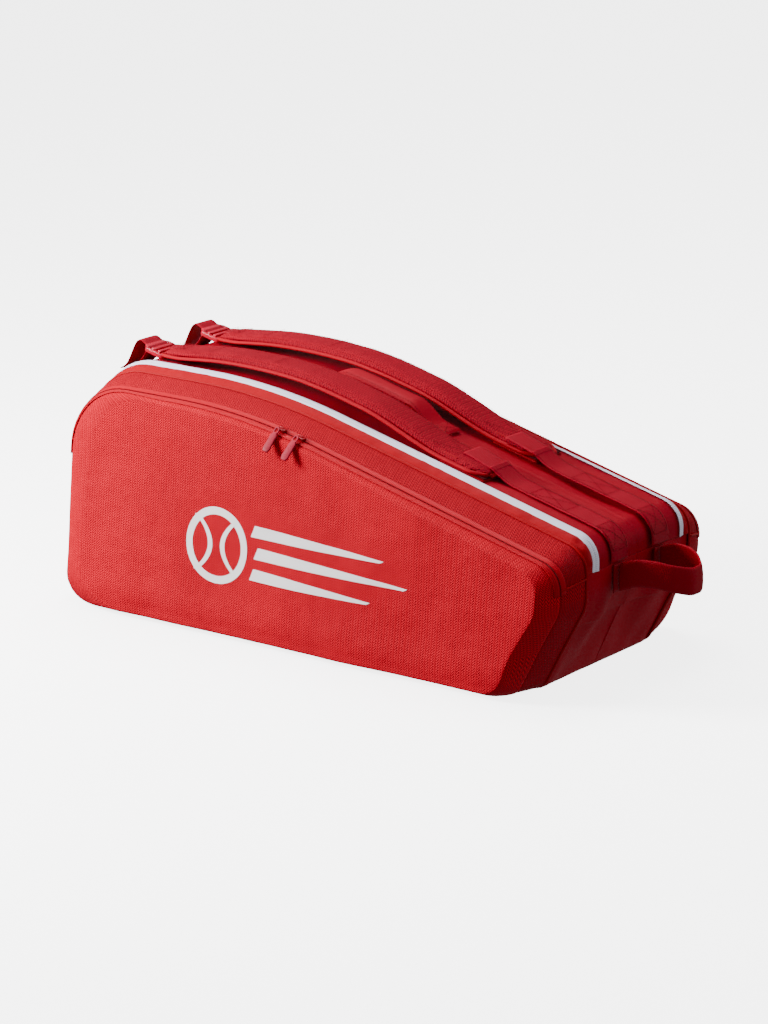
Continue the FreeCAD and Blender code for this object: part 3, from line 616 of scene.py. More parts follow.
# the band is the face fabric at about 0.7 of its colour: the darkening is painted shade
BAND_PAINTED_SHADE = fabric("band_fabric_painted_shade", colour(0.535, 0, 0.0151), colour(0.0883, 0, 0.0022), "herringbone", pitch=0.0033,
              contrast=1.0, bump=0.0006)
SMOOTH = fabric("smooth_fabric", colour(0.3472, 0, 0.0074), colour(0.2604, 0, 0.0056), "smooth",
                roughness=0.42, contrast=0.25, bump=0.00012, wrinkle=0.003, wrinkle_scale=34.0, coat=0.0)
TOP = fabric("top_fabric", colour(0.357, 0, 0.014), colour(0.221, 0, 0.0077), "smooth", roughness=0.48,
             contrast=0.3, bump=0.00015, wrinkle=0.0015, wrinkle_scale=16.0)
GUSSET = fabric("gusset_fabric", colour(0.4, 0, 0.013), colour(0.24, 0, 0.007), "smooth", roughness=0.5,
                contrast=0.3, bump=0.00015, wrinkle=0.0012, wrinkle_scale=14.0)
PIPING = fabric("piping_fabric", colour(0.3696, 0, 0.0067), colour(0.215, 0, 0.004), "smooth", roughness=0.4,
                contrast=0.3, bump=0.0001, wrinkle=0.0004)
BASE = fabric("base_fabric", colour(0.1344, 0, 0.0031), colour(0.0672, 0, 0.0017), "plain", coordinates="xy",
              pitch=0.0016, roughness=0.6, contrast=0.5)
LINING = fabric("lining_fabric", colour(0.05, 0.05, 0.055), colour(0.02, 0.02, 0.024), "plain",
                coordinates="xz", pitch=0.0014, roughness=0.55, contrast=0.5)
# the strap herringbone at full contrast also carries painted highlight on raised floats and painted shade
# between them
STRAP = fabric("strap_fabric", colour(0.432, 0, 0.0173), colour(0.0871, 0, 0.0036), "herringbone",
               coordinates="xy", pitch=0.0029, contrast=1.0, bump=0.0006)
STRAP_SMOOTH = fabric("strap_smooth", colour(0.4032, 0, 0.0119), colour(0.2473, 0, 0.007), "smooth",
                      coordinates="xy", roughness=0.45, contrast=0.25, bump=0.00012, wrinkle=0.0012)
STRAP_PANEL = fabric("strap_panel", colour(0.495, 0, 0.0281), colour(0.3, 0, 0.0124), "herringbone",
                     coordinates="xy", pitch=0.0024, roughness=0.5, contrast=0.6, bump=0.0003)
MESH = fabric("spacer_mesh", colour(0.09, 0.004, 0.008), colour(0.02, 0.001, 0.002), "mesh", coordinates="xy",
              pitch=0.0028, roughness=0.7, bump=0.0009, contrast=0.9)
WEBBING = fabric("webbing", colour(0.368, 0, 0.0168), colour(0.208, 0, 0.0084), "webbing", pitch=0.0019,
                 roughness=0.36, sheen=0.0, contrast=0.65, bump=0.0004, wrinkle=0.0004, coat=0.0,
                 specular=0.06)
LOOP = fabric("loop_webbing", colour(0.34, 0, 0.012), colour(0.2, 0, 0.006), "webbing", pitch=0.0019,
              roughness=0.45, contrast=0.6, bump=0.0004, wrinkle=0.0004)
PATCH = fabric("patch_fabric", colour(0.33, 0, 0.009), colour(0.19, 0, 0.004), "webbing", coordinates="xy",
               pitch=0.0022, roughness=0.45, contrast=0.6, wrinkle=0.0008)
WHITE_ZIP = fabric("white_zip", colour(0.9, 0.89, 0.99), colour(0.56, 0.52, 0.7), "ribs", pitch=0.0024,
                   roughness=0.5, contrast=0.6, bump=0.0004, wrinkle=0.0002)
RED_ZIP = fabric("red_zip", colour(0.47, 0, 0.0128), colour(0.3068, 0, 0.008), "ribs", pitch=0.0021,
                 roughness=0.4, contrast=0.4, bump=0.0002, wrinkle=0.0003, coat=0.04)
COIL = fabric("zip_coil", colour(0.168, 0, 0.0037), colour(0.0403, 0, 0.001), "ribs", pitch=0.0021,
              roughness=0.4, contrast=0.8, bump=0.0006, wrinkle=0.0001)
PRINT = fabric("white_print", colour(0.95, 0.93, 0.93), colour(0.72, 0.66, 0.67), "herringbone", pitch=0.0033,
               roughness=0.5, contrast=0.4, wrinkle=0.0005, bump=0.0003)
BUCKLE = plastic("buckle_plastic", colour(0.416, 0, 0.0216), colour(0.32, 0, 0.0144), roughness=0.22)
SLIDER = plastic("slider_metal", colour(0.3232, 0, 0.0093), colour(0.2155, 0, 0.0058), roughness=0.32,
                 metallic=0.1, coat=0.15)
RUBBER = plastic("puller_rubber", colour(0.31, 0, 0.0205), colour(0.2046, 0, 0.0112), roughness=0.6, coat=0.0,
                 bump=0.0003)
THREAD = thread_material("thread", colour(0.44, 0, 0.012), colour(0.22, 0, 0.006))
DARK_THREAD = thread_material("dark_thread", colour(0.22, 0, 0.006), colour(0.11, 0, 0.003))
BOARD = plastic("base_board", colour(0.06, 0.004, 0.005), colour(0.03, 0.002, 0.003), roughness=0.6, coat=0.0)


# ---------------------------------------------------------------- the middle of the bag

def even_lines(count, low, high):
    return [low + (high - low) * k / (count - 1) for k in range(count)]


def make_top():
    """The smooth top between the main zips: it dips and creases between the sewn webbings."""
    def shape(point, along, across):
        y = point[1] / PANEL_Y
        dip = -0.0022 * (1 - y * y)
        slope = math.exp(-((point[0] - 0.30) / 0.07) ** 2)
        fold = 0.0026 * slope * math.cos(y * math.pi * 2.6) - 0.003 * slope * (1 - y * y)
        seam = -0.0012 * math.exp(-(point[1] / 0.0016) ** 2) if point[0] > 0.16 else 0.0
        edge = 0.0012 * math.exp(-((1 - abs(y)) / 0.03) ** 2)
        return dip + fold + seam + edge + 0.0009 * rough(point, 0.05) + 0.0005 * rough(point, 0.018, 3)
    line = top_line(-ZIP_RISE, 0, HEAD_JOIN, ZIP_END)
    rows = [(y, line, 0) for y in even_lines(61, -PANEL_Y, PANEL_Y)]
    piece = thicken(loft("top", rows, 1, shape=shape), 0.003)
    settle(piece, "bag", TOP, "top_fabric", "top_panel")
    lines = []
    for y in (-PANEL_Y + 0.0035, PANEL_Y - 0.0035):
        normals = outward_of(line, False)
        lines.append(([(x + nx * 0.0012, y, z + nz * 0.0012) for (x, z), (nx, nz) in zip(line, normals)],
                      [(nx, 0, nz) for nx, nz in normals]))
    settle(stitches("top_stitching", lines), "bag", DARK_THREAD, "top_fabric")


def make_head_gusset():
    """The head end between the main zips."""
    def shape(point, along, across):
        y = point[1] / PANEL_Y
        return -0.004 * math.sin(math.pi * across) * (1 - y * y) + 0.0016 * rough(point, 0.06,
                1) + 0.0006 * rough(point, 0.02, 5)
    heights = even_lines(60, HEAD_JOIN, 0.0)
    ys = even_lines(49, -PANEL_Y, PANEL_Y)
    points = np.empty((len(ys), len(heights), 3))
    uvs = np.empty((len(ys), len(heights), 2))
    for i, y in enumerate(ys):
        for k, z in enumerate(heights):
            x = head_x(z)
            if z < 0.02:
                x += 0.02 - math.sqrt(max(0.0, 0.02 ** 2 - (0.02 - z) ** 2))
            points[i, k] = (x - shape((x, y, z), 0, k / 59), y, z)
            uvs[i, k] = (y, z)
    piece = thicken(grid_object("head_end", points, uvs, outward=(-1, 0, 0)), 0.003)
    settle(piece, "bag", GUSSET, "smooth_fabric", "head_gusset")
    seam = [(head_x(HEAD_JOIN) - 0.0006, y, HEAD_JOIN + 0.0005) for y in ys]
    settle(tube("head_join", seam, 0.0014), "bag", PIPING, "smooth_fabric")


def end_profile(z):
    """The handle end at the seams: upright, then leaning in towards the ground."""
    if z > HANDLE_WALL + 0.02:
        return HANDLE_END - 0.001
    if z > HANDLE_WALL - 0.03:
        t = (HANDLE_WALL + 0.02 - z) / 0.05
        return HANDLE_END - 0.001 - 0.5 * t * t * 0.05 * (HANDLE_END - HANDLE_BASE) / HANDLE_WALL
    x = handle_x(z) - 0.001
    if z < 0.008:
        x -= 0.008 - math.sqrt(max(0.0, 0.008 ** 2 - (0.008 - z) ** 2))
    return x


def make_handle_gusset():
    """The handle end: soft cloth with a valley down the middle and standing folds."""
    heights = even_lines(76, ZIP_END, 0.0)
    for name, side in SIDES:
        ys = even_lines(41, 0.0, SEAM_Y - 0.001)
        points = np.empty((len(ys), len(heights), 3))
        uvs = np.empty((len(ys), len(heights), 2))
        for i, y in enumerate(ys):
            for k, z in enumerate(heights):
                share = y / SEAM_Y
                down = 1 - z / ZIP_END
                belly = math.sin(math.pi * min(1.0, down * 1.02)) ** 0.8
                valley = -0.0100 * math.exp(-(share / 0.26) ** 2) * (0.15 + 0.85 * belly)
                folds = 0.0046 * belly * math.cos(share * math.pi * 2.6 + 0.9 * math.sin(down * 4))
                pull = -0.003 * math.exp(-((share - 0.75) / 0.12) ** 2) * belly
                soft = 0.0024 * rough((0.4, y * 1.6, z * 0.5), 0.05, 7 + side)
                fade = min(1.0, (1 - share) * 9)
                x = end_profile(z) + (valley + folds + pull + soft) * fade - 0.0005
                points[i, k] = (x, -side * y, z)
                uvs[i, k] = (y, z)
        piece = thicken(grid_object(f"handle_end_{name}", points, uvs, outward=(1, 0, 0)), 0.0025)
        nodes = ("handle_gusset",) if side == 1 else ()
        settle(piece, None, GUSSET, "smooth_fabric", *nodes)
        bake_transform(piece)


def make_base():
    """The base cloth."""
    columns = even_lines(70, head_x(0) + 0.010, HANDLE_BASE - 0.004)
    ys = even_lines(33, -0.115, 0.115)
    points = np.array([[(x, y, 0.0012 + 0.0006 * abs(rough((x, y, 0), 0.05, 9))) for x in columns]
                       for y in ys])
    uvs = points[:, :, :2].copy()
    piece = thicken(grid_object("base_cloth", points, uvs, outward=(0, 0, -1)), 0.0012)
    settle(piece, "bag", BASE, "base_fabric", "base_panel")


def make_inside():
    """The lining: the divider between the rackets and the inner walls of the pods."""
    def wall(name, y, drop, inset, material, body, node, thickness):
        outline = ring(drop, inset, inset, inset, 0.006)
        middle = np.array([(-0.06 + (p[0] + 0.0) * 0.55, 0.14 - 0.0) for p in outline])
        steps = 14
        points = np.empty((len(outline), steps, 3))
        uvs = np.empty((len(outline), steps, 2))
        for i, p in enumerate(outline):
            for k in range(steps):
                t = k / (steps - 1)
                x, z = p + (middle[i] - p) * t
                quilt = 0.0012 * math.sin(x * 2 * math.pi / 0.06) * math.sin(z * 2 * math.pi / 0.06)
                points[i, k] = (x, y + quilt * min(1, t * 4), z)
                uvs[i, k] = (x, z)
        piece = thicken(grid_object(name, points, uvs, True), thickness)
        return settle(piece, body, material, "lining", node)
    wall("divider", 0.0, -0.001, 0.024, LINING, "bag", "centre_divider", 0.003)
    for name, side in SIDES:
        wall(f"inner_wall_{name}", -side * 0.1165, 0.004, 0.004, LINING, f"{name}_pod",
             f"pod_inner_wall_{name}", 0.0015)


# ---------------------------------------------------------------- one side of the bag

def zip_strips(label, name, side, y_low, y_high, drop, head_low, handle_low, inset, body, material, slot,
               node, raised, coil, tilt=0.0, end_inset=None):
    """One tape of a zip; returns the path along its edge ("inner" or "outer") where its coil runs."""
    count = 7
    rows = []
    for k in range(count):
        t = k / (count - 1)
        y = y_low + (y_high - y_low) * t
        d = drop[0] + (drop[1] - drop[0]) * t
        line = top_line(d, inset, head_low, handle_low, end_inset)
        rows.append((y, line, raised + tilt * (1 - t) + 0.0003 * math.sin(math.pi * t)))
    piece = thicken(loft(f"{label}_{name}", rows, side), 0.0009)
    settle(piece, body, material, slot, *node)
    edge = rows[-1] if coil == "outer" else rows[0]
    normals = outward_of(edge[1], False)
    path = [(x + nx * (raised + 0.0003), -side * edge[0], z + nz * (raised + 0.0003)) for (x, z),
            (nx, nz) in zip(edge[1], normals)]
    return path


def make_main_zip(name, side):
    """The white reverse coil zip of a racket compartment."""
    middle = (PANEL_Y + ZIP_OUT_Y) / 2
    drop = (-ZIP_RISE, -ZIP_RISE)
    zip_strips("zip_inner", name, side, PANEL_Y - 0.0018, middle - 0.00015, drop, ZIP_LOW, ZIP_END, 0.0,
               "bag", WHITE_ZIP, "white_zip", (f"main_zip_inner_{name}",), 0.0012, "outer", 0.0012)
    zip_strips("zip_outer", name, side, middle + 0.00015, ZIP_OUT_Y + 0.0014, (-ZIP_RISE, -ZIP_RISE + 0.0012),
               ZIP_LOW, ZIP_END, 0.0,
               f"{name}_pod", WHITE_ZIP, "white_zip", (f"main_zip_outer_{name}",), 0.0002, "inner", 0.0010)


def make_flange(name, side):
    """The smooth band from the main zip down to the pod seam, with light puckers."""
    def shape(point, along, across):
        hump = math.sin(math.pi * across)
        pucker = 0.0024 * hump * rough((point[0], 0, point[2]), 0.013, 4 + side)
        return hump * 0.0012 + pucker + 0.0008 * hump * rough(point, 0.04, 6)
    rows = []
    for k in range(10):
        t = k / 9
        y = ZIP_OUT_Y + 0.0006 + (SEAM_Y - 0.0018 - ZIP_OUT_Y) * t
        rows.append((y, top_line(-(ZIP_RISE - 0.001) * (1 - t), 0, ZIP_LOW, ZIP_END), 0.0002))
    piece = thicken(loft(f"flange_{name}", rows, side, shape=shape), 0.002)
    settle(piece, f"{name}_pod", SMOOTH, "smooth_fabric", f"pod_flange_{name}")
    line = ring(0, 0, 0, 0, 0.004)
    normals = outward_of(line, True)
    path = [(x + nx * 0.0006, -side * SEAM_Y, z + nz * 0.0006) for (x, z), (nx, nz) in zip(line, normals)]
    cord = tube(f"piping_{name}", path, 0.0017, closed=True)
    settle(cord, f"{name}_pod", PIPING, "smooth_fabric", f"seam_piping_{name}")


POD_DROP = 0.016
POD_TAPER = 0.005
POD_TAPER_HANDLE = 0.011


def pod_row(t, lift=0.0):
    """Outline of the pod between its seam (t = 0) and the pocket zip (t = 1)."""
    taper = POD_TAPER * t
    return ring(POD_DROP * t, taper, POD_TAPER_HANDLE * t, POD_TAPER_HANDLE * t, lift, 0.004 * t)


def unfolded(outline, normals, path_out):
    """Cloth coordinates that run on from the face over its edges."""
    return outline + normals * path_out


def make_frame_band(name, side):
    """The textured band from the pod seam to the pocket zip, round the whole pod, in the face fabric darkened
    as painted shade.
    """
    steps = 12
    outline = pod_row(1.0)
    normals = outward_of(outline, True)
    points = np.empty((len(outline), steps, 3))
    uvs = np.empty((len(outline), steps, 2))
    for k in range(steps):
        t = k / (steps - 1)
        y = SEAM_Y + 0.0012 + (POCKET_Y - 0.0005 - SEAM_Y - 0.0012) * t
        row = pod_row(t, 0.001)
        out = outward_of(row, True)
        reach = (POCKET_Y - y) * math.hypot(1, POD_DROP / (POCKET_Y - SEAM_Y)) + 0.06
        for i, (x, z) in enumerate(row):
            hump = math.sin(math.pi * t)
            push = 0.0018 * hump * (1.0 if z > 0.02 else 0.2) + 0.0009 * rough((x, y * 0.4, z), 0.035, 8
                    + side) * hump
            push += 0.0004 * rough((x, y, z), 0.012, 3) * hump
            if z < 0.01:
                push = min(push, 0.0)
            points[i, k] = (x + out[i][0] * push, -side * y, max(0.0006, z + out[i][1] * push))
            uvs[i, k] = unfolded(outline[i], normals[i], reach)
    piece = thicken(grid_object(f"top_band_{name}", points, uvs, True), 0.002)
    # the band takes the darker copy of the face fabric, painted shade
    settle(piece, f"{name}_pod", BAND_PAINTED_SHADE, "face_fabric", f"pod_frame_{name}")
    return points


def make_end_seams(name, side):
    """Seams that end the top band at both ends, from the pod seam to the pocket zip."""
    for label, low_z, sign in (("handle", 0.146, 1), ("head", 0.200, -1)):
        path = []
        for k in range(16):
            t = k / 15
            y = SEAM_Y + 0.002 + (POCKET_Y - SEAM_Y - 0.001) * t
            z = low_z + (0.008 if sign > 0 else 0.004) * (1 - t)
            x = HANDLE_END - POD_TAPER_HANDLE * t if sign > 0 else head_x(z, POD_TAPER * t)
            path.append((x + sign * (0.0012 + 0.0014 * math.sin(math.pi * t)), -side * y, z))
        settle(tube(f"end_seam_{label}_{name}", path, 0.0014, sides=8), f"{name}_pod", PIPING,
               "smooth_fabric")


def face_plane(z):
    """Distance of the face from the middle at a height: it leans in towards the top."""
    return FACE_Y - FACE_LEAN * z


def face_bulge(x, z):
    """Soft unevenness of the face: padded middle, slack lower edge, drawn in by the seams."""
    wide = 0.0030 * rough((x, 0.0, z), 0.16, 11) + 0.0012 * rough((x, 0.0, z), 0.055, 12)
    sag = 0.0015 * math.sin(x * 2 * math.pi / 0.31 + 0.8) * math.exp(-((z - 0.06) / 0.07) ** 2)
    return wide + sag


def make_pocket(name, side):
    """The moulded face of the accessory pocket, wrapped over all its edges."""
    wrap, inner = 18, 22
    start = POCKET_Y + 0.0004
    def outline_at(share, flat):
        return ring(POD_DROP + 0.007 * share, POD_TAPER + 0.048 * share, POD_TAPER_HANDLE + 0.019 * flat,
                    POD_TAPER_HANDLE + 0.010 * flat, 0.0008 + 0.008 * share, 0.030 * share, 0.010 * flat)
    edge = outline_at(1.0, 1.0)
    normals = outward_of(edge, True)
    count = len(edge)
    points = np.empty((count, wrap + inner, 3))
    uvs = np.empty((count, wrap + inner, 2))
    length = np.zeros(count)
    for k in range(wrap):
        t = math.sin(math.pi / 2 * k / (wrap - 1))
        share = 1 - (1 - t ** 1.7) ** (1 / 1.7)
        row = outline_at(share, 0.35 * share + 0.65 * t)
        for i in range(count):
            x, z = row[i]
            points[i, k] = (x, start + (face_plane(z) - start) * t, z)
    for k in range(wrap - 2, -1, -1):
        length += np.linalg.norm(points[:, k] - points[:, k + 1], axis=1)
        for i in range(count):
            uvs[i, k] = unfolded(edge[i], normals[i], length[i])
    uvs[:, wrap - 1] = edge
    for i in range(count):
        core_x = min(max(edge[i][0], -0.20), 0.20)
        core = np.array((core_x, 0.5 * (crown(core_x) - 0.04)))
        for k in range(inner):
            p = edge[i] + (core - edge[i]) * 0.9 * (k + 1) / inner
            points[i, wrap + k] = (p[0], face_plane(p[1]), p[1])
            uvs[i, wrap + k] = p
    for i in range(count):
        for k in range(wrap + inner):
            x, y, z = points[i, k]
            depth = min(1.0, max(0.0, (y - start) / 0.02))
            y += (face_bulge(x, z) - 0.0022 + 0.0004 * rough((x, y, z), 0.013, 5)) * depth
            if z > 0.02:
                y += 0.0015 * math.exp(-((z - 0.035) / 0.02) ** 2) * depth
            points[i, k] = (x, -side * y, max(0.0006, z))
    piece = grid_object(f"pocket_face_{name}", points, uvs, True)
    fill = bmesh.new()
    fill.from_mesh(piece.data)
    fill.verts.ensure_lookup_table()
    last = wrap + inner - 1
    middle = fill.faces.new([fill.verts[i * (wrap + inner) + last] for i in range(count)])
    layer = fill.loops.layers.uv["weave"]
    for loop in middle.loops:
        loop[layer].uv = (loop.vert.co.x, loop.vert.co.z)
    middle.smooth = True
    bmesh.ops.recalc_face_normals(fill, faces=fill.faces)
    bmesh.ops.triangulate(fill, faces=[middle])
    fill.to_mesh(piece.data)
    fill.free()
    thicken(piece, 0.0025)
    settle(piece, f"{name}_pocket", FACE, "face_fabric", f"pocket_panel_{name}")
    return points[:, :wrap]


def surface_strip(name, surface, distances, raised):
    """A strip laid on part of a wrapped surface, at these distances from its first column."""
    keep = [i for i, p in enumerate(surface[:, 0]) if p[2] > (ZIP_FOOT_HANDLE if p[0] > 0 else ZIP_FOOT_HEAD)]
    rows = np.empty((len(keep), len(distances), 3))
    uvs = np.empty((len(keep), len(distances), 2))
    along = distance_along(surface[keep, 0])
    for n, i in enumerate(keep):
        line = surface[i]
        spots = distance_along(line)
        ahead, behind = surface[min(i + 1, len(surface) - 1), 0], surface[max(i - 1, 0), 0]
        for k, distance in enumerate(distances):
            p = np.array([np.interp(distance, spots, line[:, m]) for m in range(3)])
            q = np.array([np.interp(distance + 0.001, spots, line[:, m]) for m in range(3)])
            normal = np.cross(ahead - behind, q - p)
            normal /= np.linalg.norm(normal)
            if normal @ (p - np.array((0.0, 0.0, 0.12))) < 0:
                normal = -normal
            rows[n, k] = p + normal * (raised + 0.0003 * math.sin(math.pi * k / (len(distances) - 1)))
            uvs[n, k] = (along[n], distance)
    return thicken(grid_object(name, rows, uvs), 0.0009), rows


def make_pocket_zip(name, side, band, face):
    """The tonal zip of the accessory pocket: two smooth tapes and a dark line of coil."""
    spots = np.linspace(0, TAPE + 0.0008, 8)
    upper, _ = surface_strip(f"pocket_tape_upper_{name}", band[:, ::-1], spots, 0.0017)
    settle(upper, f"{name}_pod", RED_ZIP, "red_zip", f"pocket_zip_upper_{name}")
    lower, rows = surface_strip(f"pocket_tape_lower_{name}", face, spots, 0.0013)
    settle(lower, f"{name}_pocket", RED_ZIP, "red_zip", f"pocket_zip_lower_{name}")
    coil = tube(f"pocket_coil_{name}", rows[:, 0] + np.array((0, side * 0.0004, 0.0002)), 0.0010, flat=0.7)
    settle(coil, f"{name}_pocket", COIL, "red_zip")
    for number, column in enumerate((3, 5, 7)):
        rib = tube(f"pocket_rib{number}_{name}", rows[:, column], 0.0005, sides=6)
        settle(rib, f"{name}_pocket", RED_ZIP, "red_zip")


# ---------------------------------------------------------------- emblem, sliders and pullers

def on_face(x, z, side, out=0.0):
    """A point on the face of a pocket, and a little in front of it."""
    y = face_plane(z) + face_bulge(x, z) - 0.0022
    y += 0.0015 * math.exp(-((z - 0.035) / 0.02) ** 2)
    return (x, -side * (y + out), z)


def face_patch(name, side, outline_of, rows, columns):
    """A thin print on the face: outline_of(u, v) gives its x and z."""
    points = np.empty((rows, columns, 3))
    uvs = np.empty((rows, columns, 2))
    for i in range(rows):
        for k in range(columns):
            x, z = outline_of(i / (rows - 1), k / (columns - 1))
            points[i, k] = on_face(x, z, side, 0.0004)
            uvs[i, k] = (x, z)
    piece = grid_object(name, points, uvs, outward=(0, -side, 0))
    settle(piece, f"{name.split('_')[-1]}_pocket", PRINT, "face_fabric")


def make_emblem(name, side):
    """A generic printed ball with speed bars."""
    centre = (-0.132, 0.122)
    radius = 0.050
    def disc(low, high, start, end):
        def spot(u, v):
            angle = start + (end - start) * v
            r = radius * (low + (high - low) * u)
            return centre[0] + r * math.cos(angle), centre[1] + r * math.sin(angle)
        return spot
    face_patch(f"emblem_ring_{name}", side, disc(0.80, 1.0, 0, 2 * math.pi), 4, 90)
    for number, (x_shift, bow) in enumerate([(-0.62, 0.42), (0.62, -0.42)]):
        def seam(u, v, x_shift=x_shift, bow=bow):
            t = v * 2 - 1
            x = centre[0] + radius * (x_shift + bow * (1 - t * t) - 0.02 + 0.15 * (u - 0.5)
                                      + 0.05 * t * t * x_shift)
            return x, centre[1] + radius * 0.72 * t
        face_patch(f"emblem_seam{number}_{name}", side, seam, 4, 30)
    for number, (left, right, height) in enumerate([(-0.074, 0.128, 0.150), (-0.068, 0.165, 0.122),
            (-0.074, 0.110, 0.094)]):
        def bar(u, v, left=left, right=right, height=height):
            t = left + (right - left) * v
            thick = 0.0150 * (1 - 0.8 * v ** 1.5)
            return t + (u - 0.5) * 0.006, height - 0.03 * (t - left) + (u - 0.5) * thick
        face_patch(f"emblem_bar{number}_{name}", side, bar, 5, 60)


def local_piece(name, build, origin, along, up):
    """A small hard part built in its own axes, then set in place."""
    along = Vector(along).normalized()
    up = Vector(up)
    up = (up - along * up.dot(along)).normalized()
    across = up.cross(along)
    turn = Matrix((along, across, up)).transposed()
    vertices, faces = build()
    return mesh_object(name, [Vector(origin) + turn @ Vector(v) for v in vertices], faces)


def prism(outline, low, high):
    """Closed slab from an outline of (x, y) points between two heights."""
    count = len(outline)
    vertices = [(x, y, low) for x, y in outline] + [(x, y, high) for x, y in outline]
    faces = [tuple(range(count))[::-1], tuple(range(count, 2 * count))]
    faces += [(k, (k + 1) % count, count + (k + 1) % count, count + k) for k in range(count)]
    return vertices, faces


def join(*parts):
    vertices, faces = [], []
    for more_vertices, more_faces in parts:
        base = len(vertices)
        vertices += list(more_vertices)
        faces += [tuple(i + base for i in face) for face in more_faces]
    return vertices, faces


def frame_slab(outer, inner, low, high):
    """A flat ring between two outlines with the same number of points."""
    count = len(outer)
    vertices = []
    for outline, z in ((outer, low), (outer, high), (inner, high), (inner, low)):
        vertices += [(x, y, z) for x, y in outline]
    faces = []
    for k in range(count):
        m = (k + 1) % count
        for a in range(4):
            b = (a + 1) % 4
            faces.append((a * count + k, a * count + m, b * count + m, b * count + k))
    return vertices, faces


def rounded_box(long, wide, radius, steps=6):
    points = rounded([(-long / 2, -wide / 2, radius), (long / 2, -wide / 2, radius),
                      (long / 2, wide / 2, radius), (-long / 2, wide / 2, radius)], True, steps, [2])
    return [tuple(p) for p in points]


def bevel(piece, width, segments=2):
    edge = piece.modifiers.new("bevel", "BEVEL")
    edge.width = width
    edge.segments = segments
    edge.limit_method = "ANGLE"
    edge.angle_limit = math.radians(35)
    return piece


def build_slider():
    """A zip slider: a waisted shell and the bridge that holds the puller."""
    long, wide, high = 0.013, 0.009, 0.0045
    shell = [(-long / 2, -wide * 0.42), (-long * 0.1, -wide * 0.5), (long * 0.3, -wide * 0.5),
             (long / 2, -wide * 0.36),
             (long / 2, wide * 0.36), (long * 0.3, wide * 0.5), (-long * 0.1, wide * 0.5),
             (-long / 2, wide * 0.42)]
    bridge_line = [(-0.0042, 0.0016), (-0.0034, 0.0033), (-0.0015, 0.0041), (0.0015, 0.0041),
                   (0.0034, 0.0033), (0.0042, 0.0016)]
    bridge = []
    for (x, z), (x2, z2) in zip(bridge_line, bridge_line[1:]):
        corners = [(x, -0.0011, z - 0.0009), (x, 0.0011, z - 0.0009), (x, 0.0011, z), (x, -0.0011, z),
                   (x2, -0.0011, z2 - 0.0009), (x2, 0.0011, z2 - 0.0009), (x2, 0.0011, z2), (x2, -0.0011, z2)]
        faces = [(0, 1, 2, 3), (7, 6, 5, 4), (0, 4, 5, 1), (1, 5, 6, 2), (2, 6, 7, 3), (3, 7, 4, 0)]
        bridge.append((corners, faces))
    return join(prism(shell, 0.0, high * 0.42), *bridge)


def build_puller(long=0.036, wide=0.0098, thick=0.0034):
    """A moulded zip puller along -x: an open loop, a neck and a ribbed grip."""
    loop_outer = [(x - 0.0048, y) for x, y in rounded_box(0.0096, wide * 0.74, 0.003)]
    loop_inner = [(x - 0.0048, y) for x, y in rounded_box(0.0056, wide * 0.36, 0.0014)]
    grip = [(-0.0085, -wide * 0.28), (-0.0125, -wide * 0.46), (-long + 0.004, -wide * 0.5),
            (-long, -wide * 0.34),
            (-long, wide * 0.34), (-long + 0.004, wide * 0.5), (-0.0125, wide * 0.46), (-0.0085, wide * 0.28)]
    parts = [frame_slab(loop_outer, loop_inner, -thick * 0.3, thick * 0.3),
             prism(grip, -thick * 0.42, thick * 0.42)]
    for k in range(7):
        x = -0.0150 - k * 0.0026
        rib = [(x - 0.0007, -wide * 0.40), (x + 0.0007, -wide * 0.40), (x + 0.0007, wide * 0.40),
               (x - 0.0007, wide * 0.40)]
        parts.append(prism(rib, -thick * 0.5, thick * 0.5))
    return join(*parts)


def node_middle(node):
    low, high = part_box(node)
    return (Vector(low) + Vector(high)) / 2


def zip_fall(x):
    start, end = -BREAK - REACH, REACH - BREAK
    return math.asin((min(max(x, start), end) - start) / CROWN_RADIUS)


def make_sliders(name, side):
    for place in ("head", "handle"):
        body = f"{name}_{place}_slider"
        joint = JOINTS[f"{name}_{place}_puller_lift"]
        hinge = Vector(joint["pos_m"])
        fall = zip_fall(hinge.x)
        along = Vector((math.cos(fall), 0, -math.sin(fall)))
        up = Vector((math.sin(fall), 0, math.cos(fall)))
        middle = node_middle(f"pocket_slider_{name}_{place}")
        slider = local_piece(f"slider_{name}_{place}", build_slider, middle - up * 0.00225, along, up)
        settle(bevel(slider, 0.0004), body, SLIDER, "slider_metal", f"pocket_slider_{name}_{place}")
        lean = math.radians(37)
        down = (Vector((0, -side, 0)) * math.sin(lean) - up * math.cos(lean)).normalized()
        out = along.cross(down) * side
        puller = local_piece(f"puller_{name}_{place}", build_puller, hinge, -down, out)
        settle(bevel(puller, 0.0005), f"{name}_{place}_puller", RUBBER, "puller_rubber",
               f"pocket_puller_{name}_{place}")
    lean = math.atan2(HEAD_BASE - HEAD_TOP, CROWN)
    along = Vector((math.sin(lean), 0, math.cos(lean)))
    out = Vector((-math.cos(lean), 0, math.sin(lean)))
    middle = node_middle(f"main_slider_{name}")
    slider = local_piece(f"main_slider_{name}_detail", build_slider, middle - out * 0.00225, along, out)
    settle(bevel(slider, 0.0004), f"{name}_main_slider", SLIDER, "slider_metal", f"main_slider_{name}")
    hinge = Vector(JOINTS[f"{name}_main_puller_lift"]["pos_m"])
    down = (node_middle(f"main_puller_{name}") - hinge)
    down.y = 0
    puller = local_piece(f"main_puller_{name}_detail", build_puller, hinge, -down.normalized(),
                         Vector((-1, 0, 0)))
    settle(bevel(puller, 0.0005), f"{name}_main_puller", RUBBER, "puller_rubber", f"main_puller_{name}")


# ---------------------------------------------------------------- shoulder straps

STRAP_ROOT = 0.214
STRAP_TIP = -0.306
STRAP_BEND = -0.200


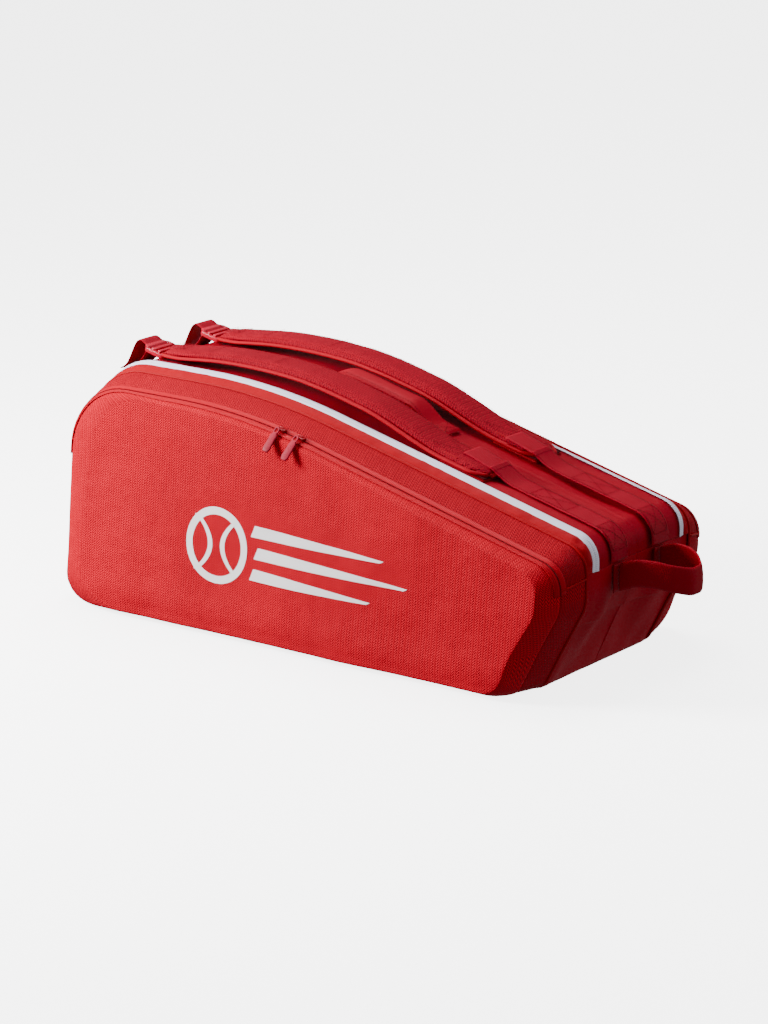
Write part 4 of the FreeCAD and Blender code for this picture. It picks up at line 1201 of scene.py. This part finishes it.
def strap_under(x):
    """Height of the underside of the padding above a place along the bag."""
    base = crown(x) + 0.0022
    lift = 0.0142 - 0.009 * min(1.0, max(0.0, (-0.07 - x) / 0.20))
    rise = min(1.0, max(0.0, (STRAP_ROOT - 0.060 - x) / 0.130))
    rise = rise * rise * (3 - 2 * rise)
    z = base + lift * rise
    if x < STRAP_BEND:
        z -= 0.0045 * ((STRAP_BEND - x) / (STRAP_BEND - STRAP_TIP)) ** 1.4
    return z


def strap_wide(x):
    """The strap narrows to its rounded tip."""
    near_tip = max(0.0, (STRAP_TIP + 0.055 - x) / 0.055)
    return STRAP_WIDE * (1 - 0.34 * near_tip ** 2.2)


def strap_line(x_from, x_to, count, lift=0.0):
    xs = even_lines(count, x_from, x_to)
    return [(x, strap_under(x) + lift) for x in xs]


def make_strap(name, side):
    middle = -side * STRAP_Y
    line = np.array(strap_line(STRAP_ROOT, STRAP_TIP, 150))
    step = np.gradient(line, axis=0)
    step /= np.linalg.norm(step, axis=1)[:, None]
    up = np.column_stack([step[:, 1], -step[:, 0]])
    up *= np.sign(up[:, 1])[:, None]
    # the padded body, a little under size, then swollen
    ring_count = 22
    vertices, faces = [], []
    for i, ((x, z), normal) in enumerate(zip(line, up)):
        half = strap_wide(x) / 2 - 0.0026
        flat = 1.0
        if i < 34:
            flat = 0.62 + 0.38 * (i / 34) ** 1.2
        half -= 0.016 * max(0.0, 1 - i / 8) ** 2
        tip = min(1.0, (len(line) - 1 - i) / 3 * 0.35 + 0.45)
        thick = 0.0086 * flat * tip
        for k in range(ring_count):
            angle = 2 * math.pi * k / ring_count
            c, s = math.cos(angle), math.sin(angle)
            a = math.copysign(abs(c) ** 0.45, c) * half
            n = 0.0018 + thick / 2 + math.copysign(abs(s) ** 0.6,
                    s) * thick / 2 + (0.0022 * (1 - (a / half) ** 2) * flat if s > 0 else 0.0)
            vertices.append((x + normal[0] * n, middle + a, z + normal[1] * n))
    faces += rod_faces(len(line), ring_count)
    pad = mesh_object(f"strap_pad_{name}", vertices, faces)
    puff(pad, 0.004, 2.0, 0.0016)
    settle(pad, f"{name}_strap", STRAP, "strap_fabric", f"shoulder_strap_{name}")
    # mesh underside
    mesh_rows = []
    for i, ((x, z), normal) in enumerate(zip(line, up)):
        half = strap_wide(x) / 2 - 0.004
        mesh_rows.append([(x + normal[0] * 0.001, middle + half * a, z + normal[1] * 0.001)
                          for a in even_lines(9, -1, 1)])
    points = np.array(mesh_rows)
    uvs = points[:, :, :2].copy()
    under = thicken(grid_object(f"strap_mesh_{name}", points, uvs, outward=(0, 0, -1)), 0.0009)
    settle(under, f"{name}_strap", MESH, "strap_mesh", f"strap_lining_{name}")
    # bound edge all round, and two rows of stitching inside it
    bound, top_lines = [], []
    for sign in (-1, 1):
        run = []
        for (x, z), normal in zip(line, up):
            half = strap_wide(x) / 2 - 0.0016 - 0.016 * max(0.0, 1 - len(run) / 8) ** 2
            run.append((x + normal[0] * 0.0036, middle + sign * half, z + normal[1] * 0.0036))
        bound.append(run if sign < 0 else run[::-1])
        stitched, normals = [], []
        for (x, z), normal in zip(line[2:-3], up[2:-3]):
            half = strap_wide(x) / 2 - 0.0075
            stitched.append((x + normal[0] * 0.0112, middle + sign * half, z + normal[1] * 0.0112))
            normals.append((normal[0], 0, normal[1]))
        top_lines.append((stitched, normals))
    tip = []
    x, z = line[-1]
    half = strap_wide(x) / 2 - 0.0016
    for angle in np.linspace(-math.pi / 2, math.pi / 2, 14)[1:-1]:
        tip.append((x - 0.0035 * math.cos(angle), middle + half * math.sin(angle), z + 0.0042))
    path = bound[0] + tip + bound[1]
    edge = tube(f"strap_binding_{name}", path, 0.0024, sides=10, flat=1.2, closed=True)
    settle(edge, f"{name}_strap", STRAP_SMOOTH, "strap_fabric")
    settle(stitches(f"strap_stitching_{name}", top_lines), f"{name}_strap", THREAD, "strap_fabric")
    return line, up, middle


def strap_top(x, lift=0.0):
    return strap_under(x) + 0.0128 + lift


def make_strap_details(name, side):
    """The smooth panel, the end box stitch and the small patch behind the ladder lock."""
    middle = -side * STRAP_Y
    def top_patch(label, x_from, x_to, share, lift, material, slot, thick=0.0006):
        xs = even_lines(40, x_from, x_to)
        ys = even_lines(17, -share, share)
        points = np.empty((len(xs), len(ys), 3))
        for i, x in enumerate(xs):
            for k, a in enumerate(ys):
                half = strap_wide(x) / 2 - 0.004
                points[i, k] = (x, middle + a * half, strap_top(x, lift) - 0.0030 * a ** 2)
        piece = thicken(grid_object(f"{label}_{name}", points, points[:, :, :2].copy(), outward=(0, 0, 1)),
                        thick)
        settle(piece, f"{name}_strap", material, slot)
    top_patch("strap_panel", -0.215, -0.120, 0.80, 0.0003, STRAP_PANEL, "strap_fabric", 0.0004)
    top_patch("strap_end_patch", STRAP_ROOT - 0.092, STRAP_ROOT - 0.044, 0.84, -0.0012, PATCH, "strap_fabric")
    top_patch("strap_lock_patch", STRAP_TIP + 0.004, STRAP_TIP + 0.036, 0.66, 0.0009, WEBBING, "webbing",
              0.0012)
    lines = []
    def seam(points, lift):
        run = smooth_path([(x, middle + y, 0) for x, y in points],
                          40) if len(points) > 2 else np.linspace((points[0][0], middle + points[0][1], 0),
                                  (points[1][0], middle + points[1][1], 0), 40)
        lines.append(([(x, y, strap_top(x, lift)) for x, y, _ in run], [(0.1, 0, 1)] * len(run)))
    a, b, c = STRAP_ROOT - 0.088, STRAP_ROOT - 0.050, 0.0165
    for start, end in sewn_box(a, b, c, 0):
        seam((start, end), -0.0002)
    a, b, c = STRAP_TIP + 0.007, STRAP_TIP + 0.033, 0.0145
    for start, end in sewn_box(a, b, c, c):
        seam((start, end), 0.0012)
    for x in (-0.120, -0.225):
        seam(((x, -0.024), (x, 0.024)), 0.0012)
    settle(stitches(f"strap_boxes_{name}", lines), f"{name}_strap", DARK_THREAD, "strap_fabric")
    web_middle = -side * WEB_Y
    over = [(x, web_middle, strap_top(x, 0.0002) - 0.0042 * max(0.0, (x - STRAP_ROOT + 0.05) / 0.05) ** 1.5)
            for x in even_lines(24, STRAP_ROOT - 0.046, STRAP_ROOT + 0.001)]
    settle(ribbon(f"strap_web_{name}", over, 0.0375, 0.0016, steps=12), f"{name}_strap", WEBBING, "webbing")


def make_webbing(name, side):
    """The sewn webbing from the strap down the handle end of the top, with its box stitches."""
    middle = -side * WEB_Y
    line = top_line(-ZIP_RISE, 0, HEAD_JOIN, 0.161)
    normals = outward_of(line, False)
    path = []
    for (x, z), (nx, nz) in zip(line, normals):
        if x > 0.2:
            lift = 0.0016 + 0.0005 * math.sin(x * 70) ** 2 + 0.0075 * max(0.0, 1
                    - (x - STRAP_ROOT) / 0.030) ** 1.6
            path.append((x + nx * lift, middle, z + nz * lift))
    even = smooth_path(path, 90)
    strip = ribbon(f"webbing_{name}", even, 0.038, 0.0018, steps=12)
    settle(strip, "bag", WEBBING, "webbing", f"strap_webbing_{name}")
    lines = []
    step = np.gradient(even, axis=0)
    step /= np.linalg.norm(step, axis=1)[:, None]
    out = np.column_stack([step[:, 2], np.zeros(len(step)), -step[:, 0]])
    out *= np.sign(out[:, 2] + out[:, 0])[:, None]
    along = distance_along(even)
    def run(points):
        """A stitch line through (distance, offset) points on the webbing."""
        spots, normals_here = [], []
        for (d0, o0), (d1, o1) in zip(points, points[1:]):
            for t in np.linspace(0, 1, 14):
                d, o = d0 + (d1 - d0) * t, o0 + (o1 - o0) * t
                p = np.array([np.interp(d, along, even[:, k]) for k in range(3)])
                n = np.array([np.interp(d, along, out[:, k]) for k in range(3)])
                p = p + n * 0.0010
                p[1] += o
                spots.append(p)
                normals_here.append(n)
        lines.append((spots, normals_here))
    total = along[-1]
    for first, last in ((0.014, 0.052), (total - 0.118, total - 0.064)):
        c = 0.0155
        run([(first, -c), (last, -c), (last, c), (first, c), (first, -c), (last, c)])
        run([(first, c), (last, -c)])
    for c in (-0.0165, 0.0165):
        run([(0.004, c), (total - 0.006, c)])
    settle(stitches(f"webbing_stitching_{name}", lines), "bag", DARK_THREAD, "webbing")
    # the patch under the strap end
    patch_middle = -side * STRAP_Y
    xs = even_lines(30, STRAP_ROOT - 0.066, STRAP_ROOT)
    ys = even_lines(13, -0.029, 0.029)
    points = np.array([[(x, patch_middle + y, crown(x) + 0.0016) for y in ys] for x in xs])
    piece = thicken(grid_object(f"strap_base_patch_{name}", points, points[:, :, :2].copy(),
                                outward=(0, 0, 1)), 0.0014)
    settle(piece, "bag", PATCH, "top_fabric", f"strap_patch_{name}")


def build_lock():
    """A ladder lock: a moulded frame with raised, rounded bars and a lifted tail."""
    long, wide, thick = 0.034, 0.048, 0.0062
    outer = rounded_box(long, wide, 0.006)
    inner = rounded_box(long - 0.010, wide - 0.011, 0.002)
    parts = [frame_slab(outer, inner, -thick / 2, thick / 2)]
    for x, rise in ((-0.0035, 0.0016), (0.0065, 0.0026)):
        half = 0.0026
        bar = [(x - half, -wide / 2 + 0.003), (x + half, -wide / 2 + 0.003), (x + half, wide / 2 - 0.003),
               (x - half, wide / 2 - 0.003)]
        parts.append(prism(bar, -thick * 0.2, thick * 0.5 + rise))
    tail = [(-long / 2 - 0.003, -wide / 2 + 0.007), (-long / 2 + 0.005, -wide / 2 + 0.003),
            (-long / 2 + 0.005, wide / 2 - 0.003), (-long / 2 - 0.003, wide / 2 - 0.007)]
    parts.append(prism(tail, thick * 0.05, thick * 0.62))
    return join(*parts)


def make_lock(name):
    middle = node_middle(f"ladder_lock_{name}") + Vector((0.004, 0, 0.0035))
    lean = math.radians(-15)
    along = Vector((math.cos(lean), 0, math.sin(lean)))
    up = Vector((-math.sin(lean), 0, math.cos(lean)))
    lock = local_piece(f"ladder_lock_{name}_detail", build_lock, middle, along, up)
    settle(bevel(lock, 0.0012, 3), f"{name}_lock", BUCKLE, "buckle_plastic", f"ladder_lock_{name}")
    # lower webbing: out of the lock and down to its anchor on the head corner
    low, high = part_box(f"lower_webbing_{name}")
    anchor_low, anchor_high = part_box(f"webbing_anchor_{name}")
    y = (low[1] + high[1]) / 2
    foot = Vector(((anchor_low[0] + anchor_high[0]) / 2, y, (anchor_low[2] + anchor_high[2]) / 2 + 0.002))
    start = middle + along * 0.010 - up * 0.0022
    path = smooth_path([tuple(start), tuple(middle - along * 0.012 - up * 0.0012),
                        (middle.x - 0.026, y, middle.z - 0.0135),
                        tuple(foot + Vector((0.012, 0, 0.0085))), tuple(foot)], 60)
    strip = ribbon(f"lower_webbing_{name}_detail", path, 0.036, 0.0018, steps=10)
    settle(strip, None, WEBBING, "webbing", f"lower_webbing_{name}")
    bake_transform(strip)
    # loose tail: out over the back of the lock, hanging in a soft loop
    tail = smooth_path([tuple(middle - along * 0.006 + up * 0.0012),
                        tuple(middle - along * 0.018 + up * 0.0030),
                        tuple(middle - along * 0.034 + up * 0.0022), (middle.x - 0.050, y, middle.z - 0.020),
                        (middle.x - 0.0625, y, middle.z - 0.0300)], 50)
    loose = ribbon(f"webbing_tail_{name}", tail, 0.034, 0.0016, steps=10)
    settle(loose, f"{name}_lock", WEBBING, "webbing")
    # webbing from the strap tip into the lock
    tip = np.array([tuple(middle + along * 0.004 - up * 0.001),
                    (STRAP_TIP + 0.004, y, strap_under(STRAP_TIP) + 0.0055),
                    (STRAP_TIP + 0.030, y, strap_top(STRAP_TIP + 0.030) - 0.001)])
    settle(ribbon(f"lock_loop_{name}", smooth_path(tip, 24), 0.036, 0.0018, steps=10), f"{name}_strap",
           WEBBING, "webbing")
    # anchor: the webbing end sewn on the corner
    turn = math.radians(48)
    along_corner = Vector((-math.cos(turn), 0, -math.sin(turn)))
    centre = (Vector(anchor_low) + Vector(anchor_high)) / 2
    base = [centre + along_corner * t for t in np.linspace(-0.013, 0.013, 12)]
    pad = ribbon(f"webbing_anchor_{name}_detail", [(p.x, y, p.z) for p in base], 0.038, 0.002, steps=10)
    settle(pad, "bag", WEBBING, "webbing", f"webbing_anchor_{name}")


# ---------------------------------------------------------------- haul handle and grab loop

def make_haul_handle():
    """The folded, padded carry handle between the straps."""
    ends = (-0.112, 0.108)
    def centre(x):
        rise_left = min(1.0, max(0.0, (x - ends[0] - 0.022) / 0.040))
        rise_right = min(1.0, max(0.0, (ends[1] - 0.022 - x) / 0.040))
        ease = lambda t: t * t * (3 - 2 * t)
        return crown(x) + 0.0032 + 0.0165 * ease(rise_left) * ease(rise_right)
    xs = even_lines(110, *ends)
    line = np.array([(x, centre(x)) for x in xs])
    step = np.gradient(line, axis=0)
    step /= np.linalg.norm(step, axis=1)[:, None]
    ring_count = 26
    vertices, faces = [], []
    for i, ((x, z), way) in enumerate(zip(line, step)):
        normal = (-way[1], way[0])
        share = min(1.0, min(i, len(xs) - 1 - i) / 26)
        waist = 1 - 0.10 * math.sin(math.pi * i / (len(xs) - 1)) ** 2
        half = 0.0192 * waist
        thick = 0.0024 + 0.0040 * share
        for k in range(ring_count):
            angle = 2 * math.pi * k / ring_count
            c, s = math.cos(angle), math.sin(angle)
            a = math.copysign(abs(c) ** 0.6, c) * half
            n = math.copysign(abs(s) ** 0.7, s) * thick / 2
            crease = -0.0026 * math.exp(-(a / 0.0024) ** 2) * share if s > 0 else 0.0
            n += crease + 0.0008 * share * math.cos(a / half * math.pi)
            vertices.append((x + normal[0] * n, a, z + normal[1] * n))
    faces += rod_faces(len(xs), ring_count)
    pad = mesh_object("haul_handle_pad", vertices, faces)
    puff(pad, 0.0022, 1.5, 0.001)
    settle(pad, "haul_handle", TOP, "smooth_fabric", "haul_handle")
    lines = []
    for end, way in ((ends[0], 1), (ends[1], -1)):
        a, b, c = end + way * 0.003, end + way * 0.020, 0.015
        for start, finish in sewn_box(a, b, c, c):
            run = np.linspace(start, finish, 20)
            lines.append(([(x, y, centre(x) + 0.0024) for x, y in run], [(0.1, 0, 1)] * 20))
    for y in (-0.0145, 0.0145):
        lines.append(([(x, y * (1 - 0.10 * math.sin(math.pi * (x - ends[0]) / (ends[1] - ends[0])) ** 2),
                        centre(x) + 0.0030) for x in xs[6:-6]], [(0, 0, 1)] * len(xs[6:-6])))
    settle(stitches("haul_stitching", lines), "haul_handle", DARK_THREAD, "smooth_fabric")


def make_grab_loop():
    """Wide webbing on edge, looped out from the handle end, and its two sewn ends."""
    low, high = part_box("grab_loop")
    start, tip = HANDLE_END + 0.003, high[0] - 0.0015
    middle_z = (low[2] + high[2]) / 2
    half = []
    for x, y in ((start, 0.0455), (start + 0.022, 0.0445), (start + 0.045, 0.0400), (start + 0.063, 0.0320),
                 (tip - 0.010, 0.0235), (tip - 0.0015, 0.0120), (tip, 0.0)):
        rise = 0.010 * math.sin(math.pi * min(1.0, (x - start) / (tip - start)) ** 0.9)
        half.append((x, -y, middle_z + rise))
    path = smooth_path(half + [(x, -y, z) for x, y, z in half[-2::-1]], 140)
    wide, thick, bow = 0.0355, 0.0028, 0.0016
    # the width stands up, leaning out a little
    step = np.gradient(path, axis=0)
    step /= np.linalg.norm(step, axis=1)[:, None]
    profile_steps = 12
    profile = [(-0.5 + k / profile_steps, 0.5) for k in range(profile_steps + 1)] + [(0.5 - k / profile_steps,
            -0.5) for k in range(profile_steps + 1)]
    along = distance_along(path)
    vertices, uvs, faces = [], [], []
    for i, p in enumerate(path):
        out = np.cross(step[i], (0, 0, 1.0))
        out /= np.linalg.norm(out)
        t = i / (len(path) - 1)
        lean = 0.10 * math.sin(2 * math.pi * t)
        for a, n in profile:
            edge = 0.5 if abs(a) > 0.49 else 1.0
            vertices.append(p + np.array((0, 0, 1.0)) * a * wide
                            + out * (n * thick * edge + bow * (1 - 4 * a * a) + a * wide * lean))
            uvs.append((along[i], a * wide))
    size = len(profile)
    faces += rod_faces(len(path), size)
    loop = mesh_object("grab_loop_webbing", vertices, faces, uvs)
    settle(loop, "grab_loop", LOOP, "webbing", "grab_loop")
    low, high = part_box("grab_loop_tabs")
    for side in (-1, 1):
        pts = [(low[0] + 0.0006, side * y, (low[2] + high[2]) / 2)
               for y in (high[1] - 0.022, high[1] - 0.011, high[1])]
        tab = ribbon(f"grab_tab_{'rear' if side > 0 else 'front'}", smooth_path(pts, 14), 0.036, 0.002,
                     side_way=(0, 0, 1), steps=8)
        nodes = ("grab_loop_tabs",) if side > 0 else ()
        settle(tab, "bag", LOOP, "webbing", *nodes)


# ---------------------------------------------------------------- build everything

make_top()
make_head_gusset()
make_handle_gusset()
make_base()
make_inside()
for side_name, side_sign in SIDES:
    make_main_zip(side_name, side_sign)
    make_flange(side_name, side_sign)
    band_surface = make_frame_band(side_name, side_sign)
    make_end_seams(side_name, side_sign)
    face_surface = make_pocket(side_name, side_sign)
    make_pocket_zip(side_name, side_sign, band_surface, face_surface)
    make_emblem(side_name, side_sign)
    make_sliders(side_name, side_sign)
    make_strap(side_name, side_sign)
    make_strap_details(side_name, side_sign)
    make_webbing(side_name, side_sign)
    make_lock(side_name)
make_haul_handle()
make_grab_loop()

board = frame["nodes"]["base_board"]
board.data.materials.clear()
board.data.materials.append(BOARD)


# ---------------------------------------------------------------- floor, light and camera

def make_stage():
    bpy.ops.mesh.primitive_plane_add(size=30, location=(0, 6, -0.0005))
    floor = bpy.context.active_object
    floor.name = "floor"
    n = Nodes("floor")
    spot = n.add("ShaderNodeTexCoord").outputs["Object"]
    n.put("Base Color", n.mix(n.between(n.noise(spot, 2.0), 0.3, 0.7, 0.0, 0.3), colour(0.93, 0.93, 0.93),
                              colour(0.90, 0.90, 0.90)))
    n.put("Roughness", 0.9)
    n.put("Emission Color", colour(1.0, 1.0, 1.0))
    n.put("Emission Strength", 4.2)
    floor.data.materials.append(n.material)
    floor.visible_diffuse = False
    floor.visible_glossy = False
    world = bpy.data.worlds.new("studio")
    bpy.context.scene.world = world
    world.use_nodes = True
    sky = world.node_tree.nodes["Background"]
    sky.inputs[0].default_value = (1.0, 1.0, 1.0, 1.0)
    sky.inputs[1].default_value = 0.34

    def lamp(name, place, aim, size, power, tint=(1, 1, 1)):
        light = bpy.data.lights.new(name, "AREA")
        light.size = size
        light.energy = power
        light.color = tint
        holder = bpy.data.objects.new(name, light)
        bpy.context.scene.collection.objects.link(holder)
        holder.location = place
        holder.rotation_euler = (Vector(aim) - Vector(place)).to_track_quat("-Z", "Y").to_euler()
    lamp("key", (-1.4, -1.3, 1.1), (-0.1, 0, 0.12), 0.7, 126)
    lamp("top", (-0.6, 0.5, 2.8), (0, 0, 0.2), 1.6, 80)
    lamp("edge", (2.4, 1.8, 1.6), (0.2, 0, 0.1), 1.4, 22)


def make_camera():
    azimuth, elevation, away = math.radians(36.34), math.radians(15.73), 4.8
    right = Vector((math.cos(azimuth), math.sin(azimuth), 0))
    back = Vector((math.sin(azimuth) * math.cos(elevation), -math.cos(azimuth) * math.cos(elevation),
                   math.sin(elevation)))
    up = back.cross(right)
    camera = bpy.data.cameras.new("camera")
    camera.lens = 129.5
    holder = bpy.data.objects.new("camera", camera)
    bpy.context.scene.collection.objects.link(holder)
    aim = up * 0.141 - right * 0.0017
    holder.matrix_world = Matrix.Translation(back * away + aim) @ Matrix((right, up,
            back)).transposed().to_4x4()
    bpy.context.scene.camera = holder


make_stage()
make_camera()
